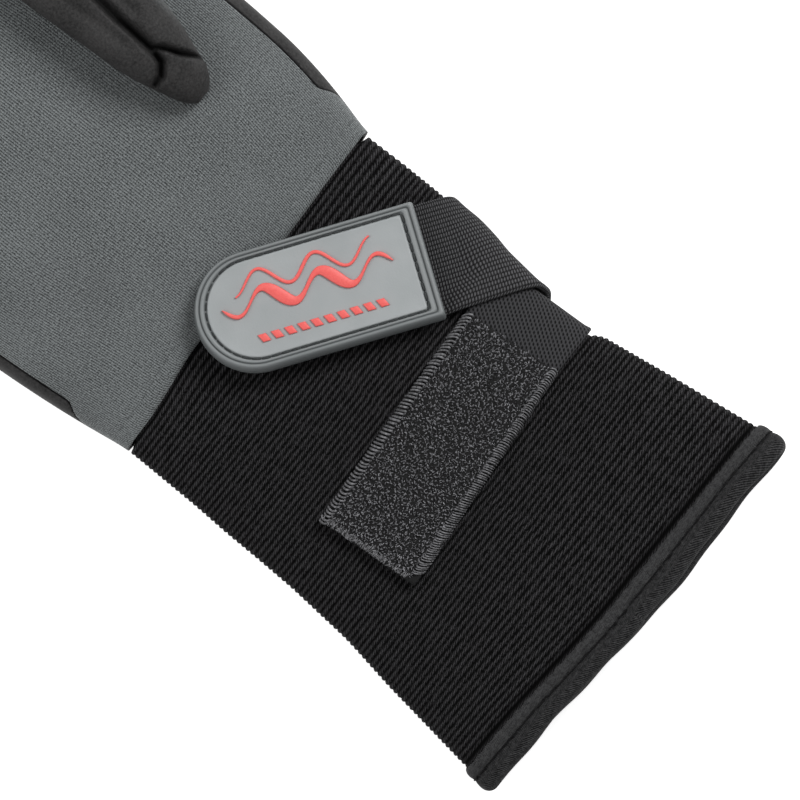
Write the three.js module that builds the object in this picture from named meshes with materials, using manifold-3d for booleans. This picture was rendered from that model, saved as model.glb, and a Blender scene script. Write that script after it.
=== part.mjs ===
// Fishing glove for a right hand, lying palm up and empty on a flat surface.
// Lengths are millimetres: X runs across to the thumb side, Y to the fingertips and Z up.
// The origin is on that surface, under the middle of the wrist seam.

import * as THREE from 'three';
import Module from 'manifold-3d';

const wasm = await Module();
wasm.setup();

// Hand: a grey neoprene shell on top and a dark leather shell below, sewn along the sides
const wristWidth = 90;
const wristHeight = 16.2;
const palmWidth = 103;
const palmLength = 100;
const handHeight = 22;
const fingerHeight = 15;
const palmFabric = 2.5;
const backFabric = 1.5;
const sideFabric = 2.2;
const fingerSides = 16;
const handSides = 34;
const fingerRoot = 86;

// Wrist seam: the edge of the shells, wavy across the top and set back towards the cuff below
const seamRise = 3.2;
const seamDrop = 0.8;
const seamFade = 12;

// Side seam: it climbs from a low to a high share of the hand's height, so that a strip of
// the dark shell shows from above, and levels out to half the height of the fingers
const sideSeamStart = 8;
const sideSeamRun = 10;
const sideSeamLow = 0.5;
const sideSeamHigh = 0.785;
const sideSeamLevelStart = 60;
const sideSeamLevelRun = 30;

// Thumb: a limp stall set into the grey shell, running towards the fingers
const thumbStart = 36.2;
const thumbLength = 74;
const thumbWidth = 28;
const thumbHeight = 14;
const thumbFabric = 1.3;
const thumbInset = 20.5;
const thumbLean = 3.5;
const thumbHoleWidth = 12;
const thumbHoleLength = 20;
const thumbHoleStart = 50;
const thumbAcross = palmWidth / 2 - thumbInset;
const thumbSeatEnd = 93;
const creaseWidth = 1.5;
const creaseDepth = 3;
const thumbSides = 22;

// Cuff: a flattened tube of ribbed knit, its upper end tucked into the hand
const cuffLength = 111.4;
const hemWidth = 102;
const cuffHeight = 15;
const knit = 2.2;
const tuckLength = 8;
const shoulderStart = 0.9;
const shoulderEnd = 1.4;
const hemLean = 2.6;
const hemUnderlap = 1.8;
const hemUnderlapAcross = -30;
const hemUnderlapRun = 35;
const hemLeanStart = 81;
const hemLeanRun = 25;
const cuffSides = 36;

// Binding: a tape folded round the hem
const bindingTape = 1.1;
const bindingWidth = 7;

// Straps: two elastic bands that pass round the thumb-side edge and end on the underside
const strapThickness = 1.6;
const strapLap = 22;
const strapRoom = 0.5;
const strapClimbStart = 6;
const strapClimbEnd = 1.5;
const bendClimbStart = 18;
const bendClimbSpread = 8;
const hollowMargin = 3;
const hollowFade = 8;
const loopStrapWidth = 25;
const loopStrapStart = -29;
const loopStrapAlong = 56.7;
const loopStrapSlope = 0.0615;
const loopStrapSkew = 1.6;
const loopPadLength = 56.6;
const loopPadBorder = 1.6;
const loopPadThickness = 1.2;
const pullStrapWidth = 26.4;
const pullStrapInTab = 13;
const pullStrapShift = -0.8;

// Pull tab: moulded rubber with one round end, lying slanting over the wrist
const tabLength = 55.3;
const tabWidth = 28;
const tabThickness = 3;
const tabBevel = 0.8;
const tabTurn = -35;
const tabEndAcross = 31.5;
const tabEndAlong = 27;
const tabClimb = 0.03;
const tabRoll = -0.06;
const grooveInset = 2.9;
const grooveWidth = 0.9;
const grooveDepth = 0.7;
const waveHeight = 0.6;
const waveWidth = 2.4;
const waveSwing = 2.6;
const waveLength = 13;
const waveSpan = 32;
const hookPadThickness = 1.6;
const hookPadWidth = 18;
const hookPadLength = 26;
const hookPadGap = 2;
const seatMargin = 0.5;
const tabCurveCells = 14;

// Room between pieces that touch in the real glove
const clearance = 0.3;

// Cells of the straps round the thumb-side edge, and of the search for the tab's rest
const bendCells = 16;
const seatCells = 22;

// How square the flattened tubes are: 2 is an ellipse, and more is closer to a rectangle
const crownSquareness = 3.2;
const baseSquareness = 6;
const fingerSquareness = 2.6;
const baseFlattening = 1.06;

// Sections of the hand: along as a share of palmLength, spread from wristWidth (0) to
// palmWidth (1) on each side, and lift from wristHeight (0) to handHeight (1)
const handSections = [
  { along: 0.00, leftSpread: 0.00, rightSpread: 0.03, lift: 0.02 },
  { along: 0.09, leftSpread: 0.22, rightSpread: 0.38, lift: 0.15 },
  { along: 0.18, leftSpread: 0.40, rightSpread: 0.70, lift: 0.35 },
  { along: 0.28, leftSpread: 0.55, rightSpread: 0.94, lift: 0.62 },
  { along: 0.43, leftSpread: 0.70, rightSpread: 1.06, lift: 0.92 },
  { along: 0.60, leftSpread: 0.80, rightSpread: 1.07, lift: 1.00 },
  { along: 0.78, leftSpread: 0.75, rightSpread: 0.97, lift: 0.85 },
  { along: 0.91, leftSpread: 0.60, rightSpread: 0.72, lift: 0.45 },
  { along: 1.00, leftSpread: 0.45, rightSpread: 0.55, lift: -0.05 },
  { along: 1.035, leftSpread: 0.20, rightSpread: 0.30, lift: -0.70 },
];

// Fingers from the index to the little one: across at root and tip as shares of half
// palmWidth, reach beyond the fork as a share of palmLength, and width at root and tip as
// shares of palmWidth
const fingers = [
  { root: 0.70, tip: 0.79, reach: 0.68, rootWidth: 0.238, tipWidth: 0.190 },
  { root: 0.235, tip: 0.26, reach: 0.80, rootWidth: 0.244, tipWidth: 0.194 },
  { root: -0.235, tip: -0.28, reach: 0.73, rootWidth: 0.236, tipWidth: 0.186 },
  { root: -0.69, tip: -0.80, reach: 0.53, rootWidth: 0.222, tipWidth: 0.172 },
];

// Sections of a finger: reach along it from inside the palm (0) to the tip (1), and how much
// of its width and height is left there
const fingerSections = [
  { reach: 0.00, width: 1.00, height: 1.00 },
  { reach: 0.25, width: 1.00, height: 1.00 },
  { reach: 0.50, width: 1.00, height: 0.96 },
  { reach: 0.75, width: 0.99, height: 0.92 },
  { reach: 0.90, width: 0.90, height: 0.82 },
  { reach: 0.97, width: 0.66, height: 0.62 },
  { reach: 1.00, width: 0.30, height: 0.34 },
];

// Wrist seam across the top: place across from the little-finger side (-1) to the thumb
// side (1), and rise towards the fingers as a share of seamRise
const seamPoints = [
  { across: -1.2, rise: 0.10 },
  { across: -0.78, rise: 0.12 },
  { across: -0.40, rise: 0.78 },
  { across: 0.30, rise: 0.50 },
  { across: 0.65, rise: 0.70 },
  { across: 1.2, rise: 1.00 },
];

// Sections of the thumb: reach along thumbLength, shift across and width and height as
// shares of thumbWidth and thumbHeight
const thumbSections = [
  { reach: 0.000, shift: -0.082, width: 0.13, height: 0.26 },
  { reach: 0.020, shift: -0.072, width: 0.27, height: 0.48 },
  { reach: 0.055, shift: -0.063, width: 0.38, height: 0.64 },
  { reach: 0.110, shift: -0.063, width: 0.46, height: 0.77 },
  { reach: 0.175, shift: -0.058, width: 0.57, height: 0.85 },
  { reach: 0.245, shift: -0.055, width: 0.65, height: 0.90 },
  { reach: 0.310, shift: -0.048, width: 0.70, height: 0.92 },
  { reach: 0.400, shift: -0.020, width: 0.80, height: 0.95 },
  { reach: 0.560, shift: 0.010, width: 0.95, height: 1.00 },
  { reach: 0.740, shift: 0.020, width: 1.00, height: 0.98 },
  { reach: 0.880, shift: 0.020, width: 0.90, height: 0.86 },
  { reach: 0.960, shift: 0.020, width: 0.68, height: 0.64 },
  { reach: 1.000, shift: 0.020, width: 0.30, height: 0.34 },
];

// Creases of the thumb's gathered end: from and to across as shares of thumbWidth from its
// middle, reach as shares of thumbLength, and depth as a share of creaseDepth
const thumbCreases = [
  { fromAcross: -0.04, fromReach: 0.36, toAcross: -0.06, toReach: 0.193, depth: 1.0 },
  { fromAcross: -0.06, fromReach: 0.193, toAcross: 0.13, toReach: 0.081, depth: 0.7 },
  { fromAcross: -0.06, fromReach: 0.193, toAcross: -0.24, toReach: 0.157, depth: 0.8 },
];

// Sections of the cuff: along as a share of cuffLength from the seam to the hem, spread from
// wristWidth (0) to hemWidth (1) on each side, and lift over the binding (1)
const cuffSections = [
  { along: 0.000, leftSpread: 0.00, rightSpread: -0.03, lift: 0 },
  { along: 0.080, leftSpread: 0.03, rightSpread: 0.01, lift: 0 },
  { along: 0.175, leftSpread: 0.06, rightSpread: 0.00, lift: 0 },
  { along: 0.265, leftSpread: 0.14, rightSpread: -0.26, lift: 0 },
  { along: 0.350, leftSpread: 0.17, rightSpread: -0.76, lift: 0 },
  { along: 0.440, leftSpread: 0.23, rightSpread: -0.93, lift: 0 },
  { along: 0.585, leftSpread: 0.45, rightSpread: -0.81, lift: 0 },
  { along: 0.615, leftSpread: 0.53, rightSpread: -0.40, lift: 0 },
  { along: 0.720, leftSpread: 0.86, rightSpread: -0.11, lift: 0 },
  { along: 0.850, leftSpread: 1.18, rightSpread: 0.27, lift: 0.2 },
  { along: 0.930, leftSpread: 1.38, rightSpread: 0.50, lift: 1 },
  { along: 1.000, leftSpread: 1.50, rightSpread: 0.65, lift: 1 },
];

// Numbers that several shapes use

function clamp(value, low, high) {
  return Math.min(Math.max(value, low), high);
}

function smooth(value) {
  const share = clamp(value, 0, 1);
  return share * share * (3 - 2 * share);
}

function mix(from, to, share) {
  return from + (to - from) * share;
}

// A row of the table, with every number interpolated where the key column holds the value
function rowAt(table, key, value) {
  let next = table.findIndex((row) => row[key] >= value);
  if (next < 0) next = table.length - 1;
  next = Math.max(next, 1);
  const before = table[next - 1];
  const after = table[next];
  const share = clamp((value - before[key]) / (after[key] - before[key]), 0, 1);
  const row = {};
  for (const column of Object.keys(before)) row[column] = mix(before[column], after[column], share);
  return row;
}

// A point of a flattened tube's section, at an angle from the thumb side over the top
function sectionPoint(extents, angle, squareness) {
  const run = Math.cos(angle);
  const rise = Math.sin(angle);
  const power = 2 / (rise < 0 ? baseSquareness : squareness);
  const middleX = (extents.left + extents.right) / 2;
  const middleZ = (extents.bottom + extents.top) / 2;
  const reachX = (extents.right - extents.left) / 2;
  const reachZ = (extents.top - extents.bottom) / 2;
  const flatten = rise < 0 ? baseFlattening : 1;
  const x = middleX + reachX * Math.sign(run) * Math.abs(run) ** power;
  const z = middleZ + reachZ * flatten * Math.sign(rise) * Math.abs(rise) ** power;
  return { x, z: Math.max(z, extents.bottom) };
}

// Height of the same section's top over a place across it
function sectionTop(extents, x, squareness) {
  const middleX = (extents.left + extents.right) / 2;
  const middleZ = (extents.bottom + extents.top) / 2;
  const share = clamp(Math.abs(x - middleX) / ((extents.right - extents.left) / 2), 0, 1);
  return middleZ + (extents.top - middleZ) * (1 - share ** squareness) ** (1 / squareness);
}

// Meshes and solids

function volumeOf(positions, indices) {
  let volume = 0;
  for (let i = 0; i < indices.length; i += 3) {
    const [a, b, c] = [0, 1, 2].map((k) => new THREE.Vector3().fromArray(positions, 3 * indices[i + k]));
    volume += a.dot(b.cross(c)) / 6;
  }
  return volume;
}

// A closed mesh whose faces are turned outwards
function closedGeometry(positions, indices) {
  if (volumeOf(positions, indices) < 0) indices.reverse();
  const geometry = new THREE.BufferGeometry();
  geometry.setAttribute('position', new THREE.Float32BufferAttribute(positions, 3));
  geometry.setIndex(indices);
  return geometry;
}

// Skin through rings of points; the two ends are closed, or the last ring joins the first
function skin(rings, joined = false) {
  const sides = rings[0].length;
  const positions = rings.flat().flatMap((point) => point.toArray());
  const indices = [];
  const spans = joined ? rings.length : rings.length - 1;
  for (let span = 0; span < spans; span += 1) {
    const near = span * sides;
    const far = ((span + 1) % rings.length) * sides;
    for (let side = 0; side < sides; side += 1) {
      const next = (side + 1) % sides;
      indices.push(near + side, near + next, far + next, near + side, far + next, far + side);
    }
  }
  if (joined) return closedGeometry(positions, indices);
  for (const [ring, first, turn] of [[rings[0], 0, 1], [rings.at(-1), spans * sides, -1]]) {
    const middle = ring.reduce((sum, point) => sum.add(point), new THREE.Vector3());
    const hub = positions.length / 3;
    positions.push(...middle.divideScalar(sides).toArray());
    for (let side = 0; side < sides; side += 1) {
      const corners = [first + (side + 1) % sides, first + side];
      if (turn < 0) corners.reverse();
      indices.push(hub, ...corners);
    }
  }
  return closedGeometry(positions, indices);
}

// A slab between two grids of points, under[i][j] and over[i][j], closed round its border
function slab(under, over) {
  const rows = under.length;
  const columns = under[0].length;
  const positions = [...under.flat(), ...over.flat()].flatMap((point) => point.toArray());
  const indices = [];
  const lower = (i, j) => i * columns + j;
  const upper = (i, j) => rows * columns + lower(i, j);
  const quad = (a, b, c, d) => indices.push(a, b, c, a, c, d);
  for (let i = 0; i + 1 < rows; i += 1) {
    for (let j = 0; j + 1 < columns; j += 1) {
      quad(upper(i, j), upper(i + 1, j), upper(i + 1, j + 1), upper(i, j + 1));
      quad(lower(i, j), lower(i, j + 1), lower(i + 1, j + 1), lower(i + 1, j));
    }
    quad(lower(i, 0), lower(i + 1, 0), upper(i + 1, 0), upper(i, 0));
    quad(lower(i + 1, columns - 1), lower(i, columns - 1), upper(i, columns - 1), upper(i + 1, columns - 1));
  }
  for (let j = 0; j + 1 < columns; j += 1) {
    quad(lower(0, j + 1), lower(0, j), upper(0, j), upper(0, j + 1));
    quad(lower(rows - 1, j), lower(rows - 1, j + 1), upper(rows - 1, j + 1), upper(rows - 1, j));
  }
  return closedGeometry(positions, indices);
}

// A box between two corners
function block(from, to) {
  const size = new THREE.Vector3().subVectors(to, from);
  const middle = new THREE.Vector3().addVectors(from, to).divideScalar(2);
  const geometry = new THREE.BoxGeometry(size.x, size.y, size.z);
  return geometry.translate(middle.x, middle.y, middle.z);
}

// Merges the shared corners of a geometry and hands it over for joining and cutting
function solid(geometry) {
  const position = geometry.getAttribute('position');
  const index = geometry.getIndex();
  const corners = new Map();
  const vertProperties = [];
  const triVerts = [];
  const count = index ? index.count : position.count;
  for (let i = 0; i < count; i += 1) {
    const vertex = index ? index.getX(i) : i;
    const place = [position.getX(vertex), position.getY(vertex), position.getZ(vertex)];
    const key = place.map((value) => Math.round(value * 1e5)).join();
    if (!corners.has(key)) {
      corners.set(key, vertProperties.length / 3);
      vertProperties.push(...place);
    }
    triVerts.push(corners.get(key));
  }
  const mesh = new wasm.Mesh({
    numProp: 3,
    vertProperties: new Float32Array(vertProperties),
    triVerts: new Uint32Array(triVerts),
  });
  return new wasm.Manifold(mesh);
}

function geometryOf(manifold) {
  const mesh = manifold.getMesh();
  const geometry = new THREE.BufferGeometry();
  geometry.setAttribute('position', new THREE.BufferAttribute(mesh.vertProperties, 3));
  geometry.setIndex(new THREE.BufferAttribute(mesh.triVerts, 1));
  return geometry;
}

// Wrist seam, shared by the hand and the cuff

function seamShift(x, z, along) {
  const rise = seamRise * rowAt(seamPoints, 'across', x / (wristWidth / 2)).rise;
  const drop = seamDrop * (1 - clamp(z / wristHeight, 0, 1));
  return (rise - drop) * (1 - smooth(Math.abs(along) / seamFade));
}

// Hand shells

function handExtents(along, wallTop, wallBottom, wallSide) {
  const row = rowAt(handSections, 'along', along / palmLength);
  const half = (spread) => mix(wristWidth, palmWidth, spread) / 2;
  return {
    left: -half(row.leftSpread) + wallSide,
    right: half(row.rightSpread) - wallSide,
    bottom: wallBottom,
    top: mix(wristHeight, handHeight, row.lift) - wallTop,
  };
}

function handTop(x, along) {
  return sectionTop(handExtents(along, 0, 0, 0), x, crownSquareness);
}

function ringOf(extents, along, sides, squareness) {
  const ring = [];
  for (let side = 0; side < sides; side += 1) {
    const { x, z } = sectionPoint(extents, (2 * Math.PI * (side + 0.5)) / sides, squareness);
    ring.push(new THREE.Vector3(x, along + seamShift(x, z, along), z));
  }
  return ring;
}

function palmOuter() {
  const rings = handSections.map((row) => {
    const along = row.along * palmLength;
    return ringOf(handExtents(along, 0, 0, 0), along, handSides, crownSquareness);
  });
  return solid(skin(rings));
}

// The hollow of the palm runs out past the wrist, so the shell is open there
function palmInner() {
  const fork = palmLength - palmFabric;
  const stations = handSections.map((row) => row.along * palmLength).filter((along) => along < fork);
  const rings = [-tuckLength, ...stations, fork].map((along) => {
    const extents = handExtents(along, palmFabric, backFabric, sideFabric);
    return ringOf(extents, along, handSides, crownSquareness);
  });
  return solid(skin(rings));
}

function fingerRings(finger, wallTop, wallBottom, wallSide, wallTip, start) {
  const reach = finger.reach * palmLength;
  return fingerSections.map((section) => {
    const along = mix(start, palmLength + reach - wallTip, section.reach);
    const share = (along - palmLength) / reach;
    const middle = (palmWidth / 2) * mix(finger.root, finger.tip, share);
    const full = palmWidth * mix(finger.rootWidth, finger.tipWidth, clamp(share, 0, 1));
    const half = (full / 2 - wallSide) * section.width;
    const height = (fingerHeight - wallTop - wallBottom) * section.height;
    const extents = {
      left: middle - half,
      right: middle + half,
      bottom: wallBottom,
      top: wallBottom + height,
    };
    return ringOf(extents, along, fingerSides, fingerSquareness);
  });
}

// Height of the seam between the grey and the dark shell
function sideSeamZ(y) {
  const climb = smooth((y - sideSeamStart) / sideSeamRun);
  const toFingers = smooth((y - sideSeamLevelStart) / sideSeamLevelRun);
  const hand = handExtents(y, 0, 0, 0).top * mix(sideSeamLow, sideSeamHigh, climb);
  return mix(hand, fingerHeight / 2, toFingers);
}

// Everything below the side seam, raised or lowered by an offset
function belowSideSeam(offset) {
  const cells = 21;
  const from = -tuckLength;
  const to = 2 * palmLength;
  const reach = palmWidth;
  const under = [];
  const over = [];
  for (let i = 0; i <= 1; i += 1) {
    const lowRow = [];
    const highRow = [];
    for (let j = 0; j <= cells; j += 1) {
      const x = mix(-reach, reach, i);
      const y = mix(from, to, j / cells);
      lowRow.push(new THREE.Vector3(x, y, -handHeight));
      highRow.push(new THREE.Vector3(x, y, sideSeamZ(y) + offset));
    }
    under.push(lowRow);
    over.push(highRow);
  }
  return solid(slab(under, over));
}

function thumbHole() {
  const half = thumbHoleWidth / 2;
  return solid(block(
    new THREE.Vector3(thumbAcross - half, thumbHoleStart, handHeight / 2),
    new THREE.Vector3(thumbAcross + half, thumbHoleStart + thumbHoleLength, handHeight + clearance + 2 * thumbFabric),
  ));
}

function handShell() {
  let outer = palmOuter();
  let inner = palmInner();
  for (const finger of fingers) {
    outer = outer.add(solid(skin(fingerRings(finger, 0, 0, 0, 0, fingerRoot))));
    inner = inner.add(solid(skin(fingerRings(
      finger, palmFabric, backFabric, sideFabric, sideFabric, fingerRoot,
    ))));
  }
  return outer.subtract(inner);
}

// Thumb

function thumbSeat(x, along) {
  return handTop(x, Math.min(along, thumbSeatEnd)) + clearance;
}

function thumbExtents(reach, wall) {
  const row = rowAt(thumbSections, 'reach', reach);
  const along = thumbStart + reach * thumbLength;
  const middle = thumbAcross + thumbLean * reach + row.shift * thumbWidth;
  const half = Math.max((thumbWidth * row.width) / 2 - wall, clearance);
  const seat = thumbSeat(middle, along) + wall;
  const height = Math.max(thumbHeight * row.height - 2 * wall, clearance);
  return { left: middle - half, right: middle + half, bottom: seat, top: seat + height };
}

// How far the creases pull the thumb's top down at a place
function creaseAt(x, along) {
  let deepest = 0;
  for (const crease of thumbCreases) {
    const place = (across, reach) => new THREE.Vector2(
      thumbAcross + thumbLean * reach + across * thumbWidth,
      thumbStart + reach * thumbLength,
    );
    const from = place(crease.fromAcross, crease.fromReach);
    const to = place(crease.toAcross, crease.toReach);
    const run = to.clone().sub(from);
    const spot = new THREE.Vector2(x, along).sub(from);
    const share = clamp(spot.dot(run) / run.lengthSq(), 0, 1);
    const distance = spot.sub(run.multiplyScalar(share)).length();
    deepest = Math.max(deepest, crease.depth * Math.exp(-((distance / creaseWidth) ** 2)));
  }
  return creaseDepth * deepest;
}

function thumbBody(wall) {
  const rings = thumbSections.map((row) => {
    const reach = clamp(row.reach, wall / thumbLength, 1 - wall / thumbLength);
    const along = thumbStart + reach * thumbLength;
    const extents = thumbExtents(reach, wall);
    const ring = [];
    for (let side = 0; side < thumbSides; side += 1) {
      const angle = (2 * Math.PI * (side + 0.5)) / thumbSides;
      const { x, z } = sectionPoint(extents, angle, fingerSquareness);
      const outer = sectionPoint(thumbExtents(reach, 0), angle, fingerSquareness);
      const upper = smooth((z - extents.bottom) / (extents.top - extents.bottom));
      const drape = thumbSeat(x, along) - thumbSeat((extents.left + extents.right) / 2, along);
      ring.push(new THREE.Vector3(x, along, z + drape - upper * creaseAt(outer.x, along)));
    }
    return ring;
  });
  return solid(skin(rings));
}

// Cuff and binding

// From inside the hand (1) the knit steps out to full size just below the seam (0); the inner
// face does so a wall further on
function tuckAt(along) {
  return clamp((shoulderEnd - along) / (shoulderEnd - shoulderStart), 0, 1);
}

function cuffExtents(along, wall = 0) {
  const row = rowAt(cuffSections, 'along', along / cuffLength);
  const tuck = tuckAt(along - wall);
  const half = (spread) => mix(wristWidth, hemWidth, spread) / 2;
  const inside = wristWidth / 2 - palmFabric - clearance;
  return {
    left: -mix(half(row.leftSpread), inside, tuck),
    right: mix(half(row.rightSpread), inside, tuck),
    bottom: mix((bindingTape + clearance) * row.lift, backFabric + clearance, tuck),
    top: mix(cuffHeight, wristHeight - palmFabric - clearance, tuck),
  };
}

// The underside is hollowed where the straps lie under it, by the depth of both
const hollowAcross = cuffExtents(loopStrapAlong).right - strapLap - hollowMargin - hollowFade;
const hollowFrom = tabEndAlong - pullStrapWidth / 2;
const hollowTo = loopStrapAlong + loopStrapWidth / 2 + hollowMargin + hollowFade;

function strapHollow(x, along) {
  const depth = 2 * (strapThickness + strapRoom);
  const reach = smooth((x - hollowAcross) / hollowFade);
  const start = smooth((along - hollowFrom) / hollowFade);
  const end = smooth((hollowTo - along) / hollowFade);
  return depth * reach * start * end;
}

// The hem leans, and its lower layer shows beyond the upper one on the thumb side
function hemShift(x, z, along) {
  const lean = hemLean * smooth((x + hemWidth / 2) / (hemWidth / 2));
  const layer = hemUnderlap * (1 - clamp(z / cuffHeight, 0, 1)) * smooth((x - hemUnderlapAcross) / hemUnderlapRun);
  return (lean + layer) * smooth((along - hemLeanStart) / hemLeanRun);
}

// A point of the cuff, pushed out from its outer face by an offset, along from the seam
function cuffPoint(angle, along, offset) {
  const extents = cuffExtents(along, Math.max(-offset, 0));
  const grown = {
    left: extents.left - offset,
    right: extents.right + offset,
    bottom: extents.bottom - offset,
    top: extents.top + offset,
  };
  const { x, z } = sectionPoint(grown, angle, crownSquareness);
  const middle = (grown.top + grown.bottom) / 2;
  const below = clamp((middle - z) / (middle - grown.bottom), 0, 1);
  const height = z + below * strapHollow(x, along);
  const y = -along + seamShift(x, height, along) - hemShift(x, height, along);
  return new THREE.Vector3(x, y, height);
}

function cuffTop(x, along) {
  return sectionTop(cuffExtents(along), x, crownSquareness);
}

// A ring round the cuff from a closed profile of { along, offset } corners
function cuffRing(profile) {
  const rings = profile.map(({ along, offset }) => {
    const ring = [];
    for (let side = 0; side < cuffSides; side += 1) {
      ring.push(cuffPoint((2 * Math.PI * (side + 0.5)) / cuffSides, along, offset));
    }
    return ring;
  });
  return skin(rings, true);
}

function cuffGeometry() {
  const stations = (wall) => [
    -tuckLength,
    shoulderStart + wall,
    shoulderEnd + wall,
    ...cuffSections.map((row) => row.along * cuffLength).filter((along) => along > shoulderEnd + knit),
  ];
  const outside = stations(0).map((along) => ({ along, offset: 0 }));
  const inside = stations(knit).map((along) => ({ along, offset: -knit })).reverse();
  return cuffRing([...outside, ...inside]);
}

function bindingGeometry() {
  const near = clearance;
  const far = clearance + bindingTape;
  const top = cuffLength + far - bindingWidth;
  const middle = cuffLength + far - bindingWidth / 2;
  return cuffRing([
    { along: top, offset: near },
    { along: top, offset: far },
    { along: middle, offset: far },
    { along: cuffLength, offset: far },
    { along: cuffLength + far, offset: near },
    { along: cuffLength + far, offset: -knit - near },
    { along: cuffLength, offset: -knit - far },
    { along: middle, offset: -knit - far },
    { along: top, offset: -knit - far },
    { along: top, offset: -knit - near },
    { along: middle, offset: -knit - near },
    { along: cuffLength + near, offset: -knit - near },
    { along: cuffLength + near, offset: near },
    { along: middle, offset: near },
  ]);
}

// Straps, laid on the cuff as flat bands on its unrolled face

// Angles round the cuff's section, with the walk to each over its crown and thumb-side edge;
// at the crown the walk equals the place across
function girthTable(along) {
  const steps = 300;
  const crown = steps / 3;
  const table = [];
  let walked = 0;
  let before = cuffPoint(Math.PI, along, 0);
  for (let step = 0; step <= steps; step += 1) {
    const angle = mix(Math.PI, -Math.PI / 2, step / steps);
    const here = cuffPoint(angle, along, 0);
    walked += Math.hypot(here.x - before.x, here.z - before.z);
    table.push({ girth: walked, angle, x: here.x });
    before = here;
  }
  const shift = table[crown].x - table[crown].girth;
  return table.map((row) => ({ ...row, girth: row.girth + shift }));
}

function onCuff(girth, along, offset) {
  const { angle } = rowAt(girthTable(along), 'girth', girth);
  return cuffPoint(angle, along, offset);
}

// The walk that ends on the underside, strapLap in from the thumb-side edge
function girthUnder(along) {
  const edge = cuffPoint(0, along, 0).x;
  return girthTable(along).find((row) => row.angle < 0 && row.x < edge - strapLap).girth;
}

const loopPadEnd = loopStrapStart + loopPadLength;
const lapGirth = girthUnder(loopStrapAlong);
const bendStart = cuffPoint(0, loopStrapAlong, 0).x - cuffHeight / 2;
const bendEnd = lapGirth - strapLap / 2;

function loopStrapMiddle(girth) {
  return loopStrapAlong - loopStrapSlope * (Math.min(girth, loopPadEnd) - loopStrapStart);
}

function bandGeometry(lengths, widths, place, offset, thickness) {
  const under = lengths.map((length) => widths.map((width) => {
    const { girth, along } = place(length, width);
    return onCuff(girth, along, offset(girth, along));
  }));
  const over = lengths.map((length) => widths.map((width) => {
    const { girth, along } = place(length, width);
    return onCuff(girth, along, offset(girth, along) + thickness);
  }));
  return slab(under, over);
}

function spread(from, to, cells) {
  return Array.from({ length: cells + 1 }, (_, i) => mix(from, to, i / cells));
}

// The free end is cut at a slant, which eases out towards the thumb-side edge
function loopPlace(girth, width) {
  const ease = clamp((bendStart - girth) / (bendStart - loopStrapStart), 0, 1);
  const skew = loopStrapSkew * (0.5 - width / loopStrapWidth) * ease;
  return { girth: girth + skew, along: loopStrapMiddle(girth) - width };
}

function loopStrapGeometry() {
  const half = loopStrapWidth / 2;
  const lengths = [
    ...spread(loopStrapStart, bendStart, 8),
    ...spread(bendStart, bendEnd, bendCells).slice(1),
    ...spread(bendEnd, lapGirth, 3).slice(1),
  ];
  return bandGeometry(lengths, spread(-half, half, 5), loopPlace, () => strapRoom, strapThickness);
}

function loopPadGeometry() {
  const half = loopStrapWidth / 2 - loopPadBorder;
  const lengths = spread(loopStrapStart + loopPadBorder, loopPadEnd, 8);
  const seat = strapRoom + strapThickness + clearance;
  return bandGeometry(lengths, spread(-half, half, 4), loopPlace, () => seat, loopPadThickness);
}

// The pull strap leaves the tab straight on and climbs over the loop strap, sooner where it
// is pulled tight round the thumb-side edge
const tabAxis = new THREE.Vector2(1, 0).rotateAround(new THREE.Vector2(), (tabTurn * Math.PI) / 180);
const tabSide = new THREE.Vector2(-tabAxis.y, tabAxis.x);

function pullPlace(length, width) {
  return {
    girth: tabEndAcross + tabAxis.x * length + tabSide.x * width,
    along: tabEndAlong - tabAxis.y * length - tabSide.y * width,
  };
}

function pullOffset(girth, along) {
  const edge = loopStrapMiddle(girth) - loopStrapWidth / 2;
  const climb = mix(strapClimbStart, bendClimbStart, smooth((girth - bendStart) / bendClimbSpread));
  const over = smooth((along - (edge - climb)) / (climb - strapClimbEnd));
  return strapRoom + (strapThickness + strapRoom) * over;
}

// The far end is cut in line with the loop strap's end, so each thread has its own length
function pullStrapGeometry() {
  const half = pullStrapWidth / 2;
  const girthToLength = (girth, width) => (girth - tabEndAcross - tabSide.x * width) / tabAxis.x;
  const shares = [...spread(0, 1, 5), ...spread(1, 2, bendCells).slice(1), ...spread(2, 3, 3).slice(1)];
  const place = (share, width) => {
    const stops = [
      -pullStrapInTab,
      girthToLength(bendStart, width),
      girthToLength(bendEnd, width),
      girthToLength(lapGirth, width),
    ];
    const stop = Math.min(Math.floor(share), 2);
    return pullPlace(mix(stops[stop], stops[stop + 1], share - stop), width);
  };
  const widths = spread(-half, half, 9).map((width) => width + pullStrapShift);
  return bandGeometry(shares, widths, place, pullOffset, strapThickness);
}

// Pull tab, in a frame of its own: X from the square end to the round end, Y across

function tabShape(inset) {
  const radius = tabWidth / 2 - inset;
  const shape = new THREE.Shape();
  shape.moveTo(inset, -radius);
  shape.lineTo(tabLength - tabWidth / 2, -radius);
  shape.absarc(tabLength - tabWidth / 2, 0, radius, -Math.PI / 2, Math.PI / 2, false);
  shape.lineTo(inset, radius);
  shape.closePath();
  return shape;
}

function waveShape() {
  const shape = new THREE.Shape();
  const steps = 24;
  const start = (tabLength - waveSpan) / 2;
  const swing = (x) => waveSwing * Math.sin((2 * Math.PI * (x - start)) / waveLength);
  const blunt = 0.02;
  const share = (x) => clamp((x - start) / waveSpan, blunt, 1 - blunt);
  const half = (x) => (waveWidth / 2) * Math.sqrt(Math.sin(Math.PI * share(x)));
  const stations = spread(start, start + waveSpan, steps);
  stations.forEach((x, i) => {
    if (i === 0) shape.moveTo(x, swing(x) - half(x));
    else shape.lineTo(x, swing(x) - half(x));
  });
  stations.reverse().forEach((x) => shape.lineTo(x, swing(x) + half(x)));
  shape.closePath();
  return shape;
}

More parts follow.
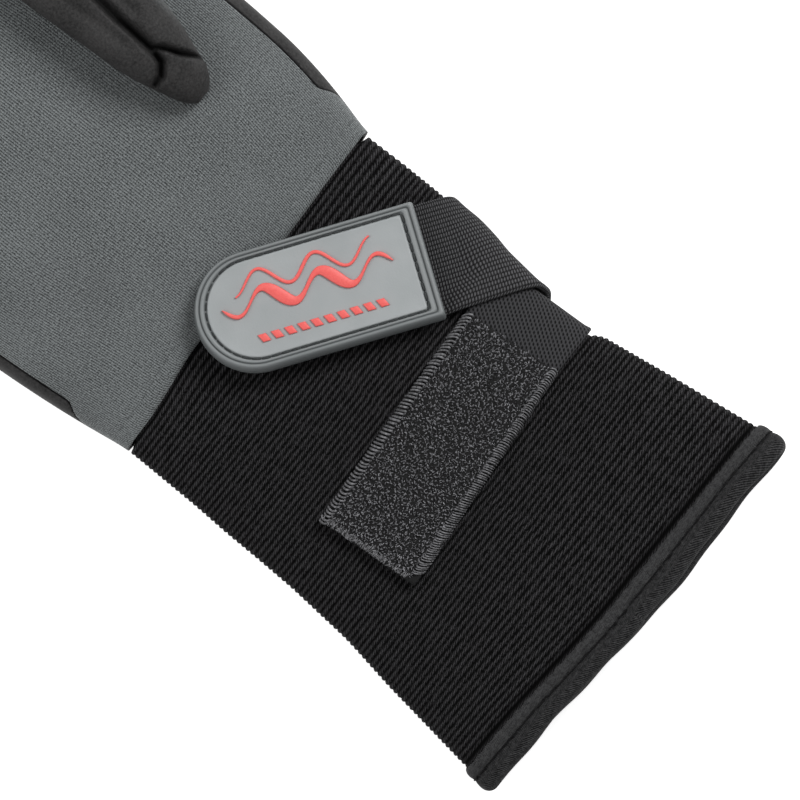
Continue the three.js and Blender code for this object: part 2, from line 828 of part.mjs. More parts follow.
function tabGeometry() {
  const plate = new THREE.ExtrudeGeometry(tabShape(tabBevel), {
    depth: tabThickness - tabBevel,
    bevelThickness: tabBevel,
    bevelSize: tabBevel,
    bevelSegments: 1,
    curveSegments: tabCurveCells,
  });
  const upperHalf = solid(plate).subtract(solid(block(
    new THREE.Vector3(-tabLength, -tabLength, -tabThickness),
    new THREE.Vector3(2 * tabLength, tabLength, 0),
  )));
  const ring = tabShape(grooveInset);
  ring.holes.push(new THREE.Path(tabShape(grooveInset + grooveWidth).getPoints(tabCurveCells).reverse()));
  const groove = new THREE.ExtrudeGeometry(ring, {
    depth: 2 * grooveDepth,
    bevelEnabled: false,
    curveSegments: tabCurveCells,
  }).translate(0, 0, tabThickness - grooveDepth);
  const wave = new THREE.ExtrudeGeometry(waveShape(), {
    depth: waveHeight + grooveDepth,
    bevelEnabled: false,
  }).translate(0, 0, tabThickness - grooveDepth);
  return geometryOf(upperHalf.subtract(solid(groove)).add(solid(wave)));
}

function hookPadGeometry() {
  const start = pullStrapInTab + hookPadGap;
  return block(
    new THREE.Vector3(start, -hookPadWidth / 2, -clearance - hookPadThickness),
    new THREE.Vector3(start + hookPadLength, hookPadWidth / 2, -clearance),
  );
}

// Height of whatever lies under the tab at a place in the tab's own frame
function heightUnderTab(length, width) {
  const place = pullPlace(-length, width);
  const x = place.girth;
  const y = -place.along;
  const onStrap = length < pullStrapInTab + seatMargin;
  const strap = onStrap ? pullOffset(x, place.along) + strapThickness : 0;
  const cuffHere = cuffTop(x, Math.max(place.along, seamFade / 2)) + strap;
  const handHere = y > -seamDrop ? handTop(x, Math.max(y, 0)) : 0;
  return Math.max(cuffHere, handHere);
}

// The tab climbs a little towards its round end and rolls towards the thumb side; it is
// lowered in that position until it lies on what is highest under it
function tabFrame() {
  const half = tabWidth / 2;
  let seat = 0;
  for (const length of spread(0, tabLength, seatCells)) {
    for (const width of spread(-half, half, seatCells / 2)) {
      const onTab = Math.hypot(Math.max(length - tabLength + half, 0), width) < half + clearance;
      const fromPad = Math.abs(length - pullStrapInTab - hookPadGap - hookPadLength / 2);
      const besidePad = Math.abs(width) > hookPadWidth / 2 + seatMargin;
      const onPad = fromPad < hookPadLength / 2 + seatMargin && !besidePad;
      const pad = onPad ? hookPadThickness + clearance : 0;
      const needed = heightUnderTab(length, width) + clearance + pad;
      if (onTab) seat = Math.max(seat, needed - tabClimb * length - tabRoll * width);
    }
  }
  const alongAxis = new THREE.Vector3(-tabAxis.x, -tabAxis.y, tabClimb).normalize();
  const acrossAxis = new THREE.Vector3(tabSide.x, tabSide.y, tabRoll);
  const up = new THREE.Vector3().crossVectors(acrossAxis, alongAxis).normalize();
  const sideAxis = new THREE.Vector3().crossVectors(up, alongAxis);
  const frame = new THREE.Group();
  frame.quaternion.setFromRotationMatrix(new THREE.Matrix4().makeBasis(alongAxis, sideAxis, up));
  frame.position.set(tabEndAcross, -tabEndAlong, seat);
  return frame;
}

// Finishes, as seen on the glove
const finishes = {
  greyJersey: new THREE.MeshStandardMaterial({ color: 0x606566, roughness: 0.9, metalness: 0 }),
  darkLeather: new THREE.MeshStandardMaterial({ color: 0x383737, roughness: 0.65, metalness: 0 }),
  blackKnit: new THREE.MeshStandardMaterial({ color: 0x1f1f20, roughness: 0.92, metalness: 0 }),
  bindingTape: new THREE.MeshStandardMaterial({ color: 0x2a2a2b, roughness: 0.85, metalness: 0 }),
  elastic: new THREE.MeshStandardMaterial({ color: 0x3b3b3c, roughness: 0.85, metalness: 0 }),
  pile: new THREE.MeshStandardMaterial({ color: 0x343436, roughness: 0.95, metalness: 0 }),
  tabRubber: new THREE.MeshStandardMaterial({ color: 0x969a9b, roughness: 0.45, metalness: 0 }),
};

function named(name, geometry, material) {
  const mesh = new THREE.Mesh(geometry, material);
  mesh.name = name;
  return mesh;
}

const glove = new THREE.Group();
glove.name = 'fishing_glove';

const shell = handShell();
const hole = thumbHole();
const palmPanel = shell.subtract(belowSideSeam(clearance / 2)).subtract(hole);
const backPanel = shell.intersect(belowSideSeam(-clearance / 2));
const thumb = thumbBody(0).subtract(thumbBody(thumbFabric)).subtract(hole);

glove.add(named('palm_panel', geometryOf(palmPanel), finishes.greyJersey));
glove.add(named('back_panel', geometryOf(backPanel), finishes.darkLeather));
glove.add(named('thumb', geometryOf(thumb), finishes.darkLeather));
glove.add(named('cuff', cuffGeometry(), finishes.blackKnit));
glove.add(named('cuff_binding', bindingGeometry(), finishes.bindingTape));
glove.add(named('loop_strap', loopStrapGeometry(), finishes.elastic));
glove.add(named('loop_pad', loopPadGeometry(), finishes.pile));
glove.add(named('pull_strap', pullStrapGeometry(), finishes.elastic));

const tab = tabFrame();
tab.add(named('pull_tab', tabGeometry(), finishes.tabRubber));
tab.add(named('hook_pad', hookPadGeometry(), finishes.pile));
glove.add(tab);

export default glove;
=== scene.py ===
# Fishing glove for a right hand, lying palm up and empty on a pale floor.
# Shapes are worked out in millimetres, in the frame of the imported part, and made metres as
# they become meshes.

import bmesh
import bpy
import numpy as np
from mathutils import Matrix, Vector


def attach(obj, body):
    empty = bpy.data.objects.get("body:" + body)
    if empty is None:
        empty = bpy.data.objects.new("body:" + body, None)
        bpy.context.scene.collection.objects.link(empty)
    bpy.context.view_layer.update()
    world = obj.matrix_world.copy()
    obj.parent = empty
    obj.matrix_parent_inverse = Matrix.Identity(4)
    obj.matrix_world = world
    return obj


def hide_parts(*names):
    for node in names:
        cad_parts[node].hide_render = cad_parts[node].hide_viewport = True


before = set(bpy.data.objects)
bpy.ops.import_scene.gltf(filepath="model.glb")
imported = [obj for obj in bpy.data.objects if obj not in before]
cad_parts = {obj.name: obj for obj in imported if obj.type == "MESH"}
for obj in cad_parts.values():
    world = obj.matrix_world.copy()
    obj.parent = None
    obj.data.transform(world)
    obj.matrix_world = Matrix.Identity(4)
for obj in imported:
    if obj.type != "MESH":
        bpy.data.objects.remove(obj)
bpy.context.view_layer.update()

# Studio: a pale floor, a large soft lamp from the thumb side, a weaker one from the other
# side and a light room. The camera looks straight down with the fingers to the upper left.

METRES = 0.001


def object_from(name, mesh):
    """The object of a mesh, linked to the scene at the origin."""
    piece = bpy.data.objects.new(name, mesh)
    bpy.context.scene.collection.objects.link(piece)
    return piece


class Wire:
    """A number in a shader; an expression on it adds the Math nodes."""

    def __init__(self, finish, socket):
        self.finish, self.socket = finish, socket

    def math(self, operation, *terms):
        return self.finish.node("ShaderNodeMath", {"operation": operation}, *terms)

    def __add__(self, term):
        return self.math("ADD", self, term)

    def __mul__(self, term):
        return self.math("MULTIPLY", self, term)

    def __sub__(self, term):
        return self.math("SUBTRACT", self, term)

    def __rsub__(self, term):
        return self.math("SUBTRACT", term, self)

    def __truediv__(self, term):
        return self.math("DIVIDE", self, term)

    __radd__ = __add__

    def sin(self):
        return self.math("SINE", self)

    def abs(self):
        return self.math("ABSOLUTE", self)

    def fract(self):
        return self.math("FRACT", self)

    def clamp(self, low=0.0, high=1.0):
        return self.math("MINIMUM", self.math("MAXIMUM", self, low), high)


class Finish:
    """A material whose nodes are added by one method."""

    def __init__(self, name):
        self.material = bpy.data.materials.new(name)
        self.material.use_nodes = True
        self.tree = self.material.node_tree
        self.shader = self.tree.nodes["Principled BSDF"]

    def node(self, kind, settings, *inputs, out=0):
        """A node: its settings first, then its sockets in order; None leaves one alone."""
        made = self.tree.nodes.new(kind)
        for key, value in settings.items():
            setattr(made, key, value)
        for socket, value in zip(made.inputs, inputs):
            self.feed(socket, value)
        return Wire(self, made.outputs[out])

    def feed(self, socket, value):
        if isinstance(value, Wire):
            self.tree.links.new(value.socket, socket)
        elif value is not None:
            socket.default_value = value

    def set(self, **values):
        """Sockets of the shader by name, with _ for a space."""
        for name, value in values.items():
            self.feed(self.shader.inputs[name.replace("_", " ")], value)

    def place(self, attribute=None):
        """Object coordinates in millimetres, or an attribute, as x, y, z."""
        if attribute:
            return self.node("ShaderNodeAttribute", {"attribute_name": attribute}, out=1)
        source = self.node("ShaderNodeTexCoord", {}, out=3)
        scaled = self.node("ShaderNodeVectorMath", {"operation": "SCALE"}, source)
        scaled.socket.node.inputs["Scale"].default_value = 1 / METRES
        return scaled

    def parts(self, vector):
        split = self.node("ShaderNodeSeparateXYZ", {}, vector)
        return [Wire(self, split.socket.node.outputs[k]) for k in range(3)]

    def noise(self, vector, scale, detail=2.0, rough=0.5):
        return self.node("ShaderNodeTexNoise", {}, vector, None, scale, detail, rough)

    def mix(self, share, dark, light):
        """A colour between two, by a share. Each is a wire or has 0 to 255 values."""
        settings = {"data_type": "RGBA", "clamp_factor": True}
        made = self.node("ShaderNodeMix", settings, share, out=2)
        for socket, color in zip(made.socket.node.inputs[6:8], (dark, light)):
            self.feed(socket, color if isinstance(color, Wire) else tone(*color))
        return made

    def bump(self, height, depth):
        """A bump whose height of 1 stands for a depth in millimetres."""
        made = self.node("ShaderNodeBump", {}, 1.0, depth * METRES)
        self.feed(made.socket.node.inputs["Height"], height)
        return made


def tone(red, green, blue):
    """A colour in the shader's units from its 0 to 255 values."""
    value = np.array([red, green, blue]) / 255.0
    light = np.where(value <= 0.04045, value / 12.92, ((value + 0.055) / 1.055) ** 2.4)
    return (*light.tolist(), 1.0)


floor_size = 1.6
floor_mesh = bpy.data.meshes.new("floor")
corners = [(x * floor_size, y * floor_size, 0) for x, y in ((-1, -1), (1, -1), (1, 1), (-1, 1))]
floor_mesh.from_pydata(corners, [], [(0, 1, 2, 3)])
floor = object_from("floor", floor_mesh)
pale = Finish("pale_floor")
pale.set(Base_Color=(0.9, 0.9, 0.9, 1), Roughness=0.9)
pale.set(Emission_Color=(1, 1, 1, 1), Emission_Strength=0.72)
floor_mesh.materials.append(pale.material)

view_right = np.array([0.6225, -0.7826, 0.0])
view_up = np.array([0.7826, 0.6225, 0.0])
view_middle = np.array([2.5, -41.5, 18.0])
view_width = 181.8
camera_distance = 2400.0


def lamp(name, across, up, height, size, power):
    """A square area lamp aimed at the view's middle, placed in the view's directions."""
    data = bpy.data.lights.new(name, "AREA")
    data.size, data.energy = size * METRES, power
    lamp_object = object_from(name, data)
    place = (view_middle + across * view_right + up * view_up + [0, 0, height]) * METRES
    lamp_object.location = place
    aim = Vector(view_middle * METRES) - Vector(place)
    lamp_object.rotation_euler = aim.to_track_quat("-Z", "Y").to_euler()


lamp("key_lamp", 420, 520, 700, 420, 6.5)
lamp("fill_lamp", -620, -80, 640, 700, 3.2)
bpy.context.scene.view_settings.view_transform = "Standard"

world = bpy.data.worlds.new("light_room")
world.use_nodes = True
world.node_tree.nodes["Background"].inputs["Color"].default_value = (1, 1, 1, 1)
world.node_tree.nodes["Background"].inputs["Strength"].default_value = 0.22
bpy.context.scene.world = world

camera_data = bpy.data.cameras.new("camera")
camera_data.sensor_width = 36
camera_data.lens = camera_data.sensor_width * camera_distance / view_width
camera = object_from("camera", camera_data)
axes = Matrix([view_right, view_up, [0, 0, 1]]).transposed().to_4x4()
camera.matrix_world = Matrix.Translation((view_middle + [0, 0, camera_distance]) * METRES) @ axes
bpy.context.scene.camera = camera

# Hand: a grey shell of knit-faced foam rubber on top and a dark soft leather shell below,
# each cut as one panel with its fingers and sewn to the other along the sides. Both are
# lofted tubes, fused, smoothed, cut at the side seam and the wrist, and given their walls.

wrist_width, wrist_height = 90.0, 16.2
palm_width, palm_length, hand_height, finger_height = 103.0, 100.0, 22.0, 15.0
finger_root = 86.0
crown_squareness, base_squareness, finger_squareness = 3.2, 6.0, 2.6
base_flattening = 1.06
seam_rise, seam_drop, seam_fade = 3.2, 0.8, 12.0
side_seam_start, side_seam_run = 8.0, 10.0
side_seam_low, side_seam_high = 0.5, 0.785
side_seam_level_start, side_seam_level_run = 60.0, 30.0
side_seam_room, hand_voxel = 0.15, 1.0
wrist_stitch_pitch, wrist_stitch_in = 3.1, 4.0

# along, left spread, right spread, lift
hand_rows = np.array([
    (0.00, 0.00, 0.03, 0.02), (0.09, 0.22, 0.38, 0.15), (0.18, 0.40, 0.70, 0.35),
    (0.28, 0.55, 0.94, 0.62), (0.43, 0.70, 1.06, 0.92), (0.60, 0.80, 1.07, 1.00),
    (0.78, 0.75, 0.97, 0.85), (0.91, 0.60, 0.72, 0.45), (1.00, 0.45, 0.55, -0.05),
    (1.035, 0.20, 0.30, -0.70),
])
# root, tip, reach, root width, tip width
finger_rows = np.array([
    (0.70, 0.79, 0.68, 0.238, 0.190), (0.235, 0.26, 0.80, 0.244, 0.194),
    (-0.235, -0.28, 0.73, 0.236, 0.186), (-0.69, -0.80, 0.53, 0.222, 0.172),
])
# reach, width, height
finger_sections = np.array([
    (0.00, 1.00, 1.00), (0.25, 1.00, 1.00), (0.50, 1.00, 0.96), (0.75, 0.99, 0.92),
    (0.90, 0.90, 0.82), (0.97, 0.66, 0.62), (1.00, 0.30, 0.34),
])
# across, rise
seam_rows = np.array([
    (-1.2, 0.10), (-0.78, 0.12), (-0.40, 0.78), (0.30, 0.50), (0.65, 0.70), (1.2, 1.00),
])


def fade(value):
    """A smooth step: 3 s^2 - 2 s^3 of the value held between 0 and 1."""
    share = np.clip(value, 0, 1)
    return share * share * (3 - 2 * share)


def from_rows(rows, key, softness=0.0):
    """The table's other columns at a key, straight between rows or softened there by an
    average of the values a little before and after."""
    key = np.asarray(key, float)
    steps = np.linspace(-softness, softness, 7) if softness else [0.0]
    return [
        np.mean([np.interp(key + step, rows[:, 0], rows[:, column]) for step in steps], axis=0)
        for column in range(1, rows.shape[1])
    ]


def tube_section(left, right, bottom, top, angle, squareness):
    """x and z of a flattened tube: a superellipse, squarer below, with a flat underside."""
    run, rise = np.cos(angle), np.sin(angle)
    power = 2 / np.where(rise < 0, base_squareness, squareness)
    flatten = np.where(rise < 0, base_flattening, 1.0)
    x = (left + right) / 2 + (right - left) / 2 * np.sign(run) * np.abs(run) ** power
    z = (bottom + top) / 2 + (top - bottom) / 2 * flatten * np.sign(rise) * np.abs(rise) ** power
    return x, np.maximum(z, bottom)


def tube_top(left, right, bottom, top, x, squareness):
    """Height of the same tube's crown over x."""
    share = np.clip(np.abs(x - (left + right) / 2) / ((right - left) / 2), 0, 1)
    return (bottom + top) / 2 + (top - bottom) / 2 * (1 - share**squareness) ** (1 / squareness)


def wrist_seam(x, z, along):
    """How far the wrist seam runs towards the fingers, fading out along the glove."""
    (rise,) = from_rows(seam_rows, x / (wrist_width / 2), 0.08)
    drop = seam_drop * (1 - np.clip(z / wrist_height, 0, 1))
    return (seam_rise * rise - drop) * (1 - fade(np.abs(along) / seam_fade))


def hand_extents(along):
    left, right, lift = from_rows(hand_rows, along / palm_length, 0.04)
    half = (wrist_width + (palm_width - wrist_width) * np.array([left, right])) / 2
    return -half[0], half[1], 0.0 * along, wrist_height + (hand_height - wrist_height) * lift


def hand_top(x, along):
    return tube_top(*hand_extents(along), x, crown_squareness)


def surface(name, points, wrap_rows=False, uv=None):
    """A grid of points as one closed skin of quads, whose columns wrap. Rows that don't wrap
    are closed at both ends by a fan to their middle. uv gives each grid corner its place."""
    rows, columns = points.shape[:2]
    i, j = np.indices((rows if wrap_rows else rows - 1, columns)).reshape(2, -1)
    corner_i = np.stack([i, i, i + 1, i + 1], -1)
    corner_j = np.stack([j, j + 1, j + 1, j], -1)
    vertices = points.reshape(-1, 3)
    faces = (corner_i % rows) * columns + corner_j % columns
    loops, starts = [faces.ravel()], [4 * np.arange(len(faces))]
    places = [uv[corner_i, corner_j].reshape(-1, 2)] if uv is not None else []
    if not wrap_rows:
        hubs = points[[0, -1]].mean(axis=1)
        ring = np.arange(columns)
        for end, first in enumerate((0, (rows - 1) * columns)):
            near, far = first + ring, first + (ring + 1) % columns
            hub = np.full(columns, len(vertices) + end)
            fan = np.stack([hub, far, near] if end == 0 else [hub, near, far], -1)
            starts.append(loops[-1].size + starts[-1][0] + 3 * ring)
            loops.append(fan.ravel())
            if uv is not None:
                row = 0 if end == 0 else rows - 1
                places.append(np.repeat(uv[row, :columns], 3, axis=0))
        vertices = np.concatenate([vertices, hubs])
    return mesh_from(name, vertices, np.concatenate(loops), np.concatenate(starts), places)


def mesh_from(name, vertices, loops, starts, places=()):
    """A mesh in metres from points in millimetres and flat face arrays, turned outwards."""
    mesh = bpy.data.meshes.new(name)
    mesh.vertices.add(len(vertices))
    mesh.vertices.foreach_set("co", (np.asarray(vertices, float) * METRES).ravel())
    mesh.loops.add(len(loops))
    mesh.loops.foreach_set("vertex_index", np.asarray(loops, np.int32))
    mesh.polygons.add(len(starts))
    mesh.polygons.foreach_set("loop_start", np.asarray(starts, np.int32))
    mesh.update(calc_edges=True)
    if len(places):
        layer = mesh.uv_layers.new(name="cloth")
        layer.data.foreach_set("uv", np.concatenate(places).astype(np.float32).ravel())
    mesh.polygons.foreach_set("use_smooth", np.ones(len(starts), bool))
    if volume_of(mesh) < 0:
        mesh.flip_normals()
    return mesh


def volume_of(mesh):
    mesh.calc_loop_triangles()
    corners = np.empty(3 * len(mesh.loop_triangles), np.int32)
    mesh.loop_triangles.foreach_get("vertices", corners)
    a, b, c = vertices_of(mesh)[corners.reshape(-1, 3)].transpose(1, 0, 2)
    return np.einsum("ij,ij->", a, np.cross(b, c))


def vertices_of(mesh):
    """The mesh's points in millimetres."""
    points = np.empty(3 * len(mesh.vertices))
    mesh.vertices.foreach_get("co", points)
    return points.reshape(-1, 3) / METRES


def move_vertices(mesh, points):
    mesh.vertices.foreach_set("co", (points * METRES).ravel())
    mesh.update()


def with_modifier(piece, kind, **settings):
    """Applies one modifier to a piece's mesh."""
    modifier = piece.modifiers.new(kind.lower(), kind)
    for key, value in settings.items():
        setattr(modifier, key, value)
    bpy.context.view_layer.update()
    graph = bpy.context.evaluated_depsgraph_get()
    mesh = bpy.data.meshes.new_from_object(piece.evaluated_get(graph))
    piece.modifiers.clear()
    piece.data = mesh
    return mesh


def merged(name, meshes):
    """One object of several meshes, each kept as a shell of its own."""
    work = bmesh.new()
    for mesh in meshes:
        work.from_mesh(mesh)
    whole = bpy.data.meshes.new(name)
    work.to_mesh(whole)
    work.free()
    return object_from(name, whole)


def tube(alongs, extents, squareness, sides):
    """Rings of a flattened tube at each along."""
    angle = 2 * np.pi * (np.arange(sides) + 0.5)[None, :] / sides
    left, right, bottom, top = [np.asarray(value)[:, None] for value in extents]
    x, z = tube_section(left, right, bottom, top, angle, squareness)
    return np.stack([x, np.broadcast_to(alongs[:, None], x.shape), z], -1)


palm_alongs = np.linspace(-14, 103.5, 80)
hand_tubes = [tube(palm_alongs, hand_extents(palm_alongs), crown_squareness, 120)]
for root, tip, reach, root_width, tip_width in finger_rows:
    tip_shares = 0.9 + 0.1 * np.sin(np.linspace(0.1, 1.57, 10))
    shares = np.concatenate([np.linspace(0, 0.9, 40), tip_shares])
    alongs = finger_root + (palm_length + reach * palm_length - finger_root) * shares
    out = (alongs - palm_length) / (reach * palm_length)
    middle = palm_width / 2 * (root + (tip - root) * out)
    width, height = from_rows(finger_sections, shares, 0.03)
    full = palm_width * (root_width + (tip_width - root_width) * np.clip(out, 0, 1)) * width
    finger = (middle - full / 2, middle + full / 2, 0 * alongs, finger_height * height)
    hand_tubes.append(tube(alongs, finger, finger_squareness, 48))

hand = merged("hand_form", [surface("hand_tube", rings) for rings in hand_tubes])
with_modifier(hand, "REMESH", mode="VOXEL", voxel_size=hand_voxel * METRES)
with_modifier(hand, "SMOOTH", factor=0.5, iterations=6)


def side_seam(y):
    """Height of the seam between the grey and the dark shell."""
    climb = fade((y - side_seam_start) / side_seam_run)
    to_fingers = fade((y - side_seam_level_start) / side_seam_level_run)
    share = side_seam_low + (side_seam_high - side_seam_low) * climb
    on_hand = hand_extents(y)[3] * share
    return on_hand + (finger_height / 2 - on_hand) * to_fingers


def hand_shell(name, side):
    """One shell, above the side seam for 1 and below it for -1: the form is sheared so that
    the side seam and then the wrist seam are flat, cut there, and sheared back."""
    mesh = hand.data.copy()
    mesh.name = name
    points = vertices_of(mesh)
    points[:, 2] -= side_seam(points[:, 1])
    move_vertices(mesh, points)
    cut_mesh(mesh, (0, 0, side * side_seam_room), (0, 0, -side))
    points = vertices_of(mesh)
    points[:, 2] += side_seam(points[:, 1])
    points[:, 1] -= wrist_seam(*points[:, [0, 2, 1]].T)
    move_vertices(mesh, points)
    cut_mesh(mesh, (0, 0, 0), (0, -1, 0))
    points = vertices_of(mesh)
    points[:, 1] += wrist_seam(*points[:, [0, 2, 1]].T)
    move_vertices(mesh, points)
    return mesh


def cut_mesh(mesh, place, away):
    """Cuts the mesh with a plane and drops what lies on the side that away points to."""
    work = bmesh.new()
    work.from_mesh(mesh)
    bmesh.ops.bisect_plane(
        work, geom=work.verts[:] + work.edges[:] + work.faces[:], dist=1e-7,
        plane_co=Vector(place) * METRES, plane_no=away, clear_outer=True,
    )
    work.to_mesh(mesh)
    work.free()
    mesh.update()


def store(mesh, name, rows):
    """Keeps three numbers a point on the mesh, for its material."""
    layer = mesh.attributes.new(name, "FLOAT_VECTOR", "POINT")
    layer.data.foreach_set("vector", rows.astype(np.float32).ravel())


def cloth_run(mesh):
    """Each point's run across the cloth, down over its sides, and along it."""
    x, y, z = vertices_of(mesh).T
    down = np.maximum(hand_height - 1 - z, 0)
    return np.stack([x + np.sign(x) * down * fade(np.abs(x) / 30), y, 0 * x], -1)


def grey_relief(points):
    """Pulls the grey shell down along its topstitching and rolls its wrist edge under."""
    x, y, z = points.T
    edge = y - wrist_seam(x, z, y * 0)
    on_top = fade((z - 11) / 3)
    pucker = 0.65 + 0.35 * np.cos(2 * np.pi * x / wrist_stitch_pitch)
    stitch = 0.32 * np.exp(-(((edge - wrist_stitch_in) / 0.9) ** 2)) * pucker
    roll = 0.9 * np.exp(-np.clip(edge, 0, None) / 0.9)
    swell = 0.25 * np.sin(x / 9.0 + 1.3) * np.sin(y / 14.0) * fade(edge / 15)
    points[:, 2] -= (stitch + roll - swell) * on_top
    return points


jersey = Finish("grey_jersey_cloth")
run = jersey.place("cloth_run")
across, lengthways, _ = jersey.parts(run)
wale_pitch, course_pitch = 0.63, 0.52
fleck = jersey.noise(run, 1.9, 2.0, 0.6)
lean = ((across + fleck * 0.5) * (np.pi / wale_pitch)).sin().abs()
course = ((lengthways + lean * 0.28) * (2 * np.pi / course_pitch)).sin()
cloud = jersey.noise(run, 0.05)
knit_height = lean * 0.62 + course * 0.22 + fleck * 0.5
shade = 0.5 + (lean - 0.62) * 0.85 + course * 0.12 + (fleck - 0.5) * 1.9 + (cloud - 0.5) * 0.35
jersey.set(
    Base_Color=jersey.mix(shade.clamp(), (38, 42, 43), (131, 136, 137)),
    Roughness=0.88,
    Normal=jersey.bump(knit_height, 0.16),
    Sheen_Weight=0.15,
    Sheen_Roughness=0.6,
)


def soft_leather(name):
    """Dark matt leather: fine grain over slow changes. Where the piece carries a fold_shade
    layer it is painted black in the folds (x), as painted shade, and painted lighter to the
    jersey's grey on one flank (y), as painted light."""
    finish = Finish(name)
    spot = finish.place()
    grain = finish.noise(spot, 1.6, 4.0, 0.6)
    slow = finish.noise(spot, 0.12)
    share = ((grain - 0.5) * 2.2 + (slow - 0.5) * 0.8 + 0.5).clamp()
    # x is the painted shade of the folds, y the painted light on one flank.
    folded, painted_flank_light, _ = finish.parts(finish.place("fold_shade"))
    plain = finish.mix(share, (20, 20, 20), (60, 59, 59))
    turned = finish.mix(painted_flank_light, plain, finish.mix(share, (60, 64, 65), (118, 123, 124)))
    finish.set(
        Base_Color=finish.mix(folded, turned, (3, 3, 3)),
        Roughness=0.6 + grain * 0.18,
        Normal=finish.bump(grain, 0.07),
        Specular_IOR_Level=0.3,
    )
    return finish


leather = soft_leather("dark_soft_leather")

for name, side, wall, finish, node, slot in (
    ("palm_panel_cloth", 1, 2.3, jersey, "palm_panel", "grey_jersey"),
    ("back_panel_leather", -1, 1.4, leather, "back_panel", "dark_leather"),
):
    shell_mesh = hand_shell(name, side)
    if finish is jersey:
        move_vertices(shell_mesh, grey_relief(vertices_of(shell_mesh)))
    shell = object_from(name, shell_mesh)
    with_modifier(shell, "SOLIDIFY", thickness=wall * METRES, offset=-1.0, use_even_offset=False)
    store(shell.data, "cloth_run", cloth_run(shell.data))
    shell.data.materials.append(finish.material)
    shell.data.polygons.foreach_set("use_smooth", np.ones(len(shell.data.polygons), bool))
    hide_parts(node)
    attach(shell, "root")
bpy.data.objects.remove(hand)

# Thumb: a limp stall of the dark leather, gathered where it folds over at its low end. It is
# one lofted skin that lies on the grey shell, with its creases pressed into the top.

thumb_start, thumb_length, thumb_width, thumb_height = 36.2, 74.0, 28.0, 14.0
thumb_across, thumb_lean, thumb_seat_end = 31.0, 3.5, 93.0
clearance = 0.3

# reach, shift, width, height
thumb_rows = np.array([
    (0.000, -0.082, 0.13, 0.26), (0.020, -0.072, 0.27, 0.48), (0.055, -0.063, 0.38, 0.64),
    (0.110, -0.063, 0.46, 0.77), (0.175, -0.058, 0.57, 0.85), (0.245, -0.055, 0.65, 0.90),
    (0.310, -0.048, 0.70, 0.92), (0.400, -0.020, 0.80, 0.95), (0.560, 0.010, 0.95, 1.00),
    (0.740, 0.020, 1.00, 0.98), (0.880, 0.020, 0.90, 0.86), (0.960, 0.020, 0.68, 0.64),
    (1.000, 0.020, 0.30, 0.34),
])
# from across, from reach, to across, to reach, depth, width to the left and to the right
thumb_creases = np.array([
    (-0.045, 0.560, -0.062, 0.460, 0.55, 1.9, 1.0), (-0.062, 0.460, -0.084, 0.341, 0.9, 1.8, 0.75),
    (-0.084, 0.341, -0.088, 0.212, 1.00, 1.7, 0.6), (-0.088, 0.212, -0.110, 0.168, 1.0, 1.3, 0.55),
    (-0.110, 0.168, -0.190, 0.142, 0.95, 1.2, 0.55), (-0.190, 0.142, -0.280, 0.138, 0.85, 0.9, 0.5),
    (-0.088, 0.228, -0.006, 0.180, 0.95, 0.9, 0.55), (-0.006, 0.180, 0.047, 0.132, 0.9, 0.9, 0.45),
    (0.047, 0.132, 0.145, 0.072, 0.85, 0.9, 0.45), (0.100, 0.560, 0.050, 0.320, 0.30, 1.8, 1.8),
    (-0.240, 0.520, -0.190, 0.280, 0.25, 1.8, 1.8), (0.250, 0.620, 0.280, 0.360, 0.22, 2.0, 2.0),
])
flank_light_across, flank_light_fade, flank_light_end = 35.0, 5.5, 66.0
crease_depth = 4.2


def thumb_place(across, reach):
    """x and along on the stall, from a share of its width and one of its length."""
    return np.array([thumb_across + thumb_lean * reach + across * thumb_width,
                     thumb_start + reach * thumb_length])


def thumb_seat(x, along):
    return hand_top(x, np.minimum(along, thumb_seat_end)) + clearance


def thumb_crease(x, along):
    """How deep the creases press the top, from 0 to 1: the deepest of bell-shaped grooves
    round lines, each with a width of its own on either side."""
    deepest = np.zeros_like(x)
    for across_0, reach_0, across_1, reach_1, depth, left, right in thumb_creases:
        start, stop = thumb_place(across_0, reach_0), thumb_place(across_1, reach_1)
        run_x, run_y = stop - start
        share = ((x - start[0]) * run_x + (along - start[1]) * run_y) / (run_x**2 + run_y**2)
        share = np.clip(share, 0, 1)
        away = np.hypot(x - start[0] - share * run_x, along - start[1] - share * run_y)
        turn = run_x * (along - start[1]) - run_y * (x - start[0])
        width = right + (left - right) * fade(0.5 + turn / np.hypot(run_x, run_y) / 0.4)
        deepest = np.maximum(deepest, depth * np.exp(-((away / width) ** 1.7)))
    return deepest


reaches = np.concatenate([
    0.02 * (1 - np.cos(np.linspace(0.25, 1.5, 10))), np.linspace(0.022, 0.95, 190),
    0.95 + 0.05 * np.sin(np.linspace(0.05, 1.5, 14)),
])[:, None]
angles = 2 * np.pi * (np.arange(180) + 0.5)[None, :] / 180
shift, width, height = from_rows(thumb_rows, reaches, 0.01)
thumb_middle, thumb_along = thumb_place(shift, reaches)
half = thumb_width * width / 2
seat = thumb_seat(thumb_middle, thumb_along)
x, z = tube_section(thumb_middle - half, thumb_middle + half, seat, seat + thumb_height * height,
                    angles, finger_squareness)
upper = fade((z - seat) / (thumb_height * height))
drape = thumb_seat(x, thumb_along + 0 * x) - seat
wave = 0.2 * np.sin(x * 0.5 + thumb_along * 0.21) + 0.18 * np.sin(thumb_along * 0.42 - x * 0.3)
crease = thumb_crease(x, thumb_along + 0 * x)
z = z + drape - upper * (crease_depth * crease + wave * fade((reaches - 0.1) / 0.2))
thumb_points = np.stack([x, thumb_along + 0 * x, z], -1)
thumb = object_from("thumb_leather", surface("thumb_leather", thumb_points))
# Painted shade: the cores of the creases on the top are painted near black.
black = np.clip((crease - 0.2) / 0.65, 0, 1) ** 1.5 * upper
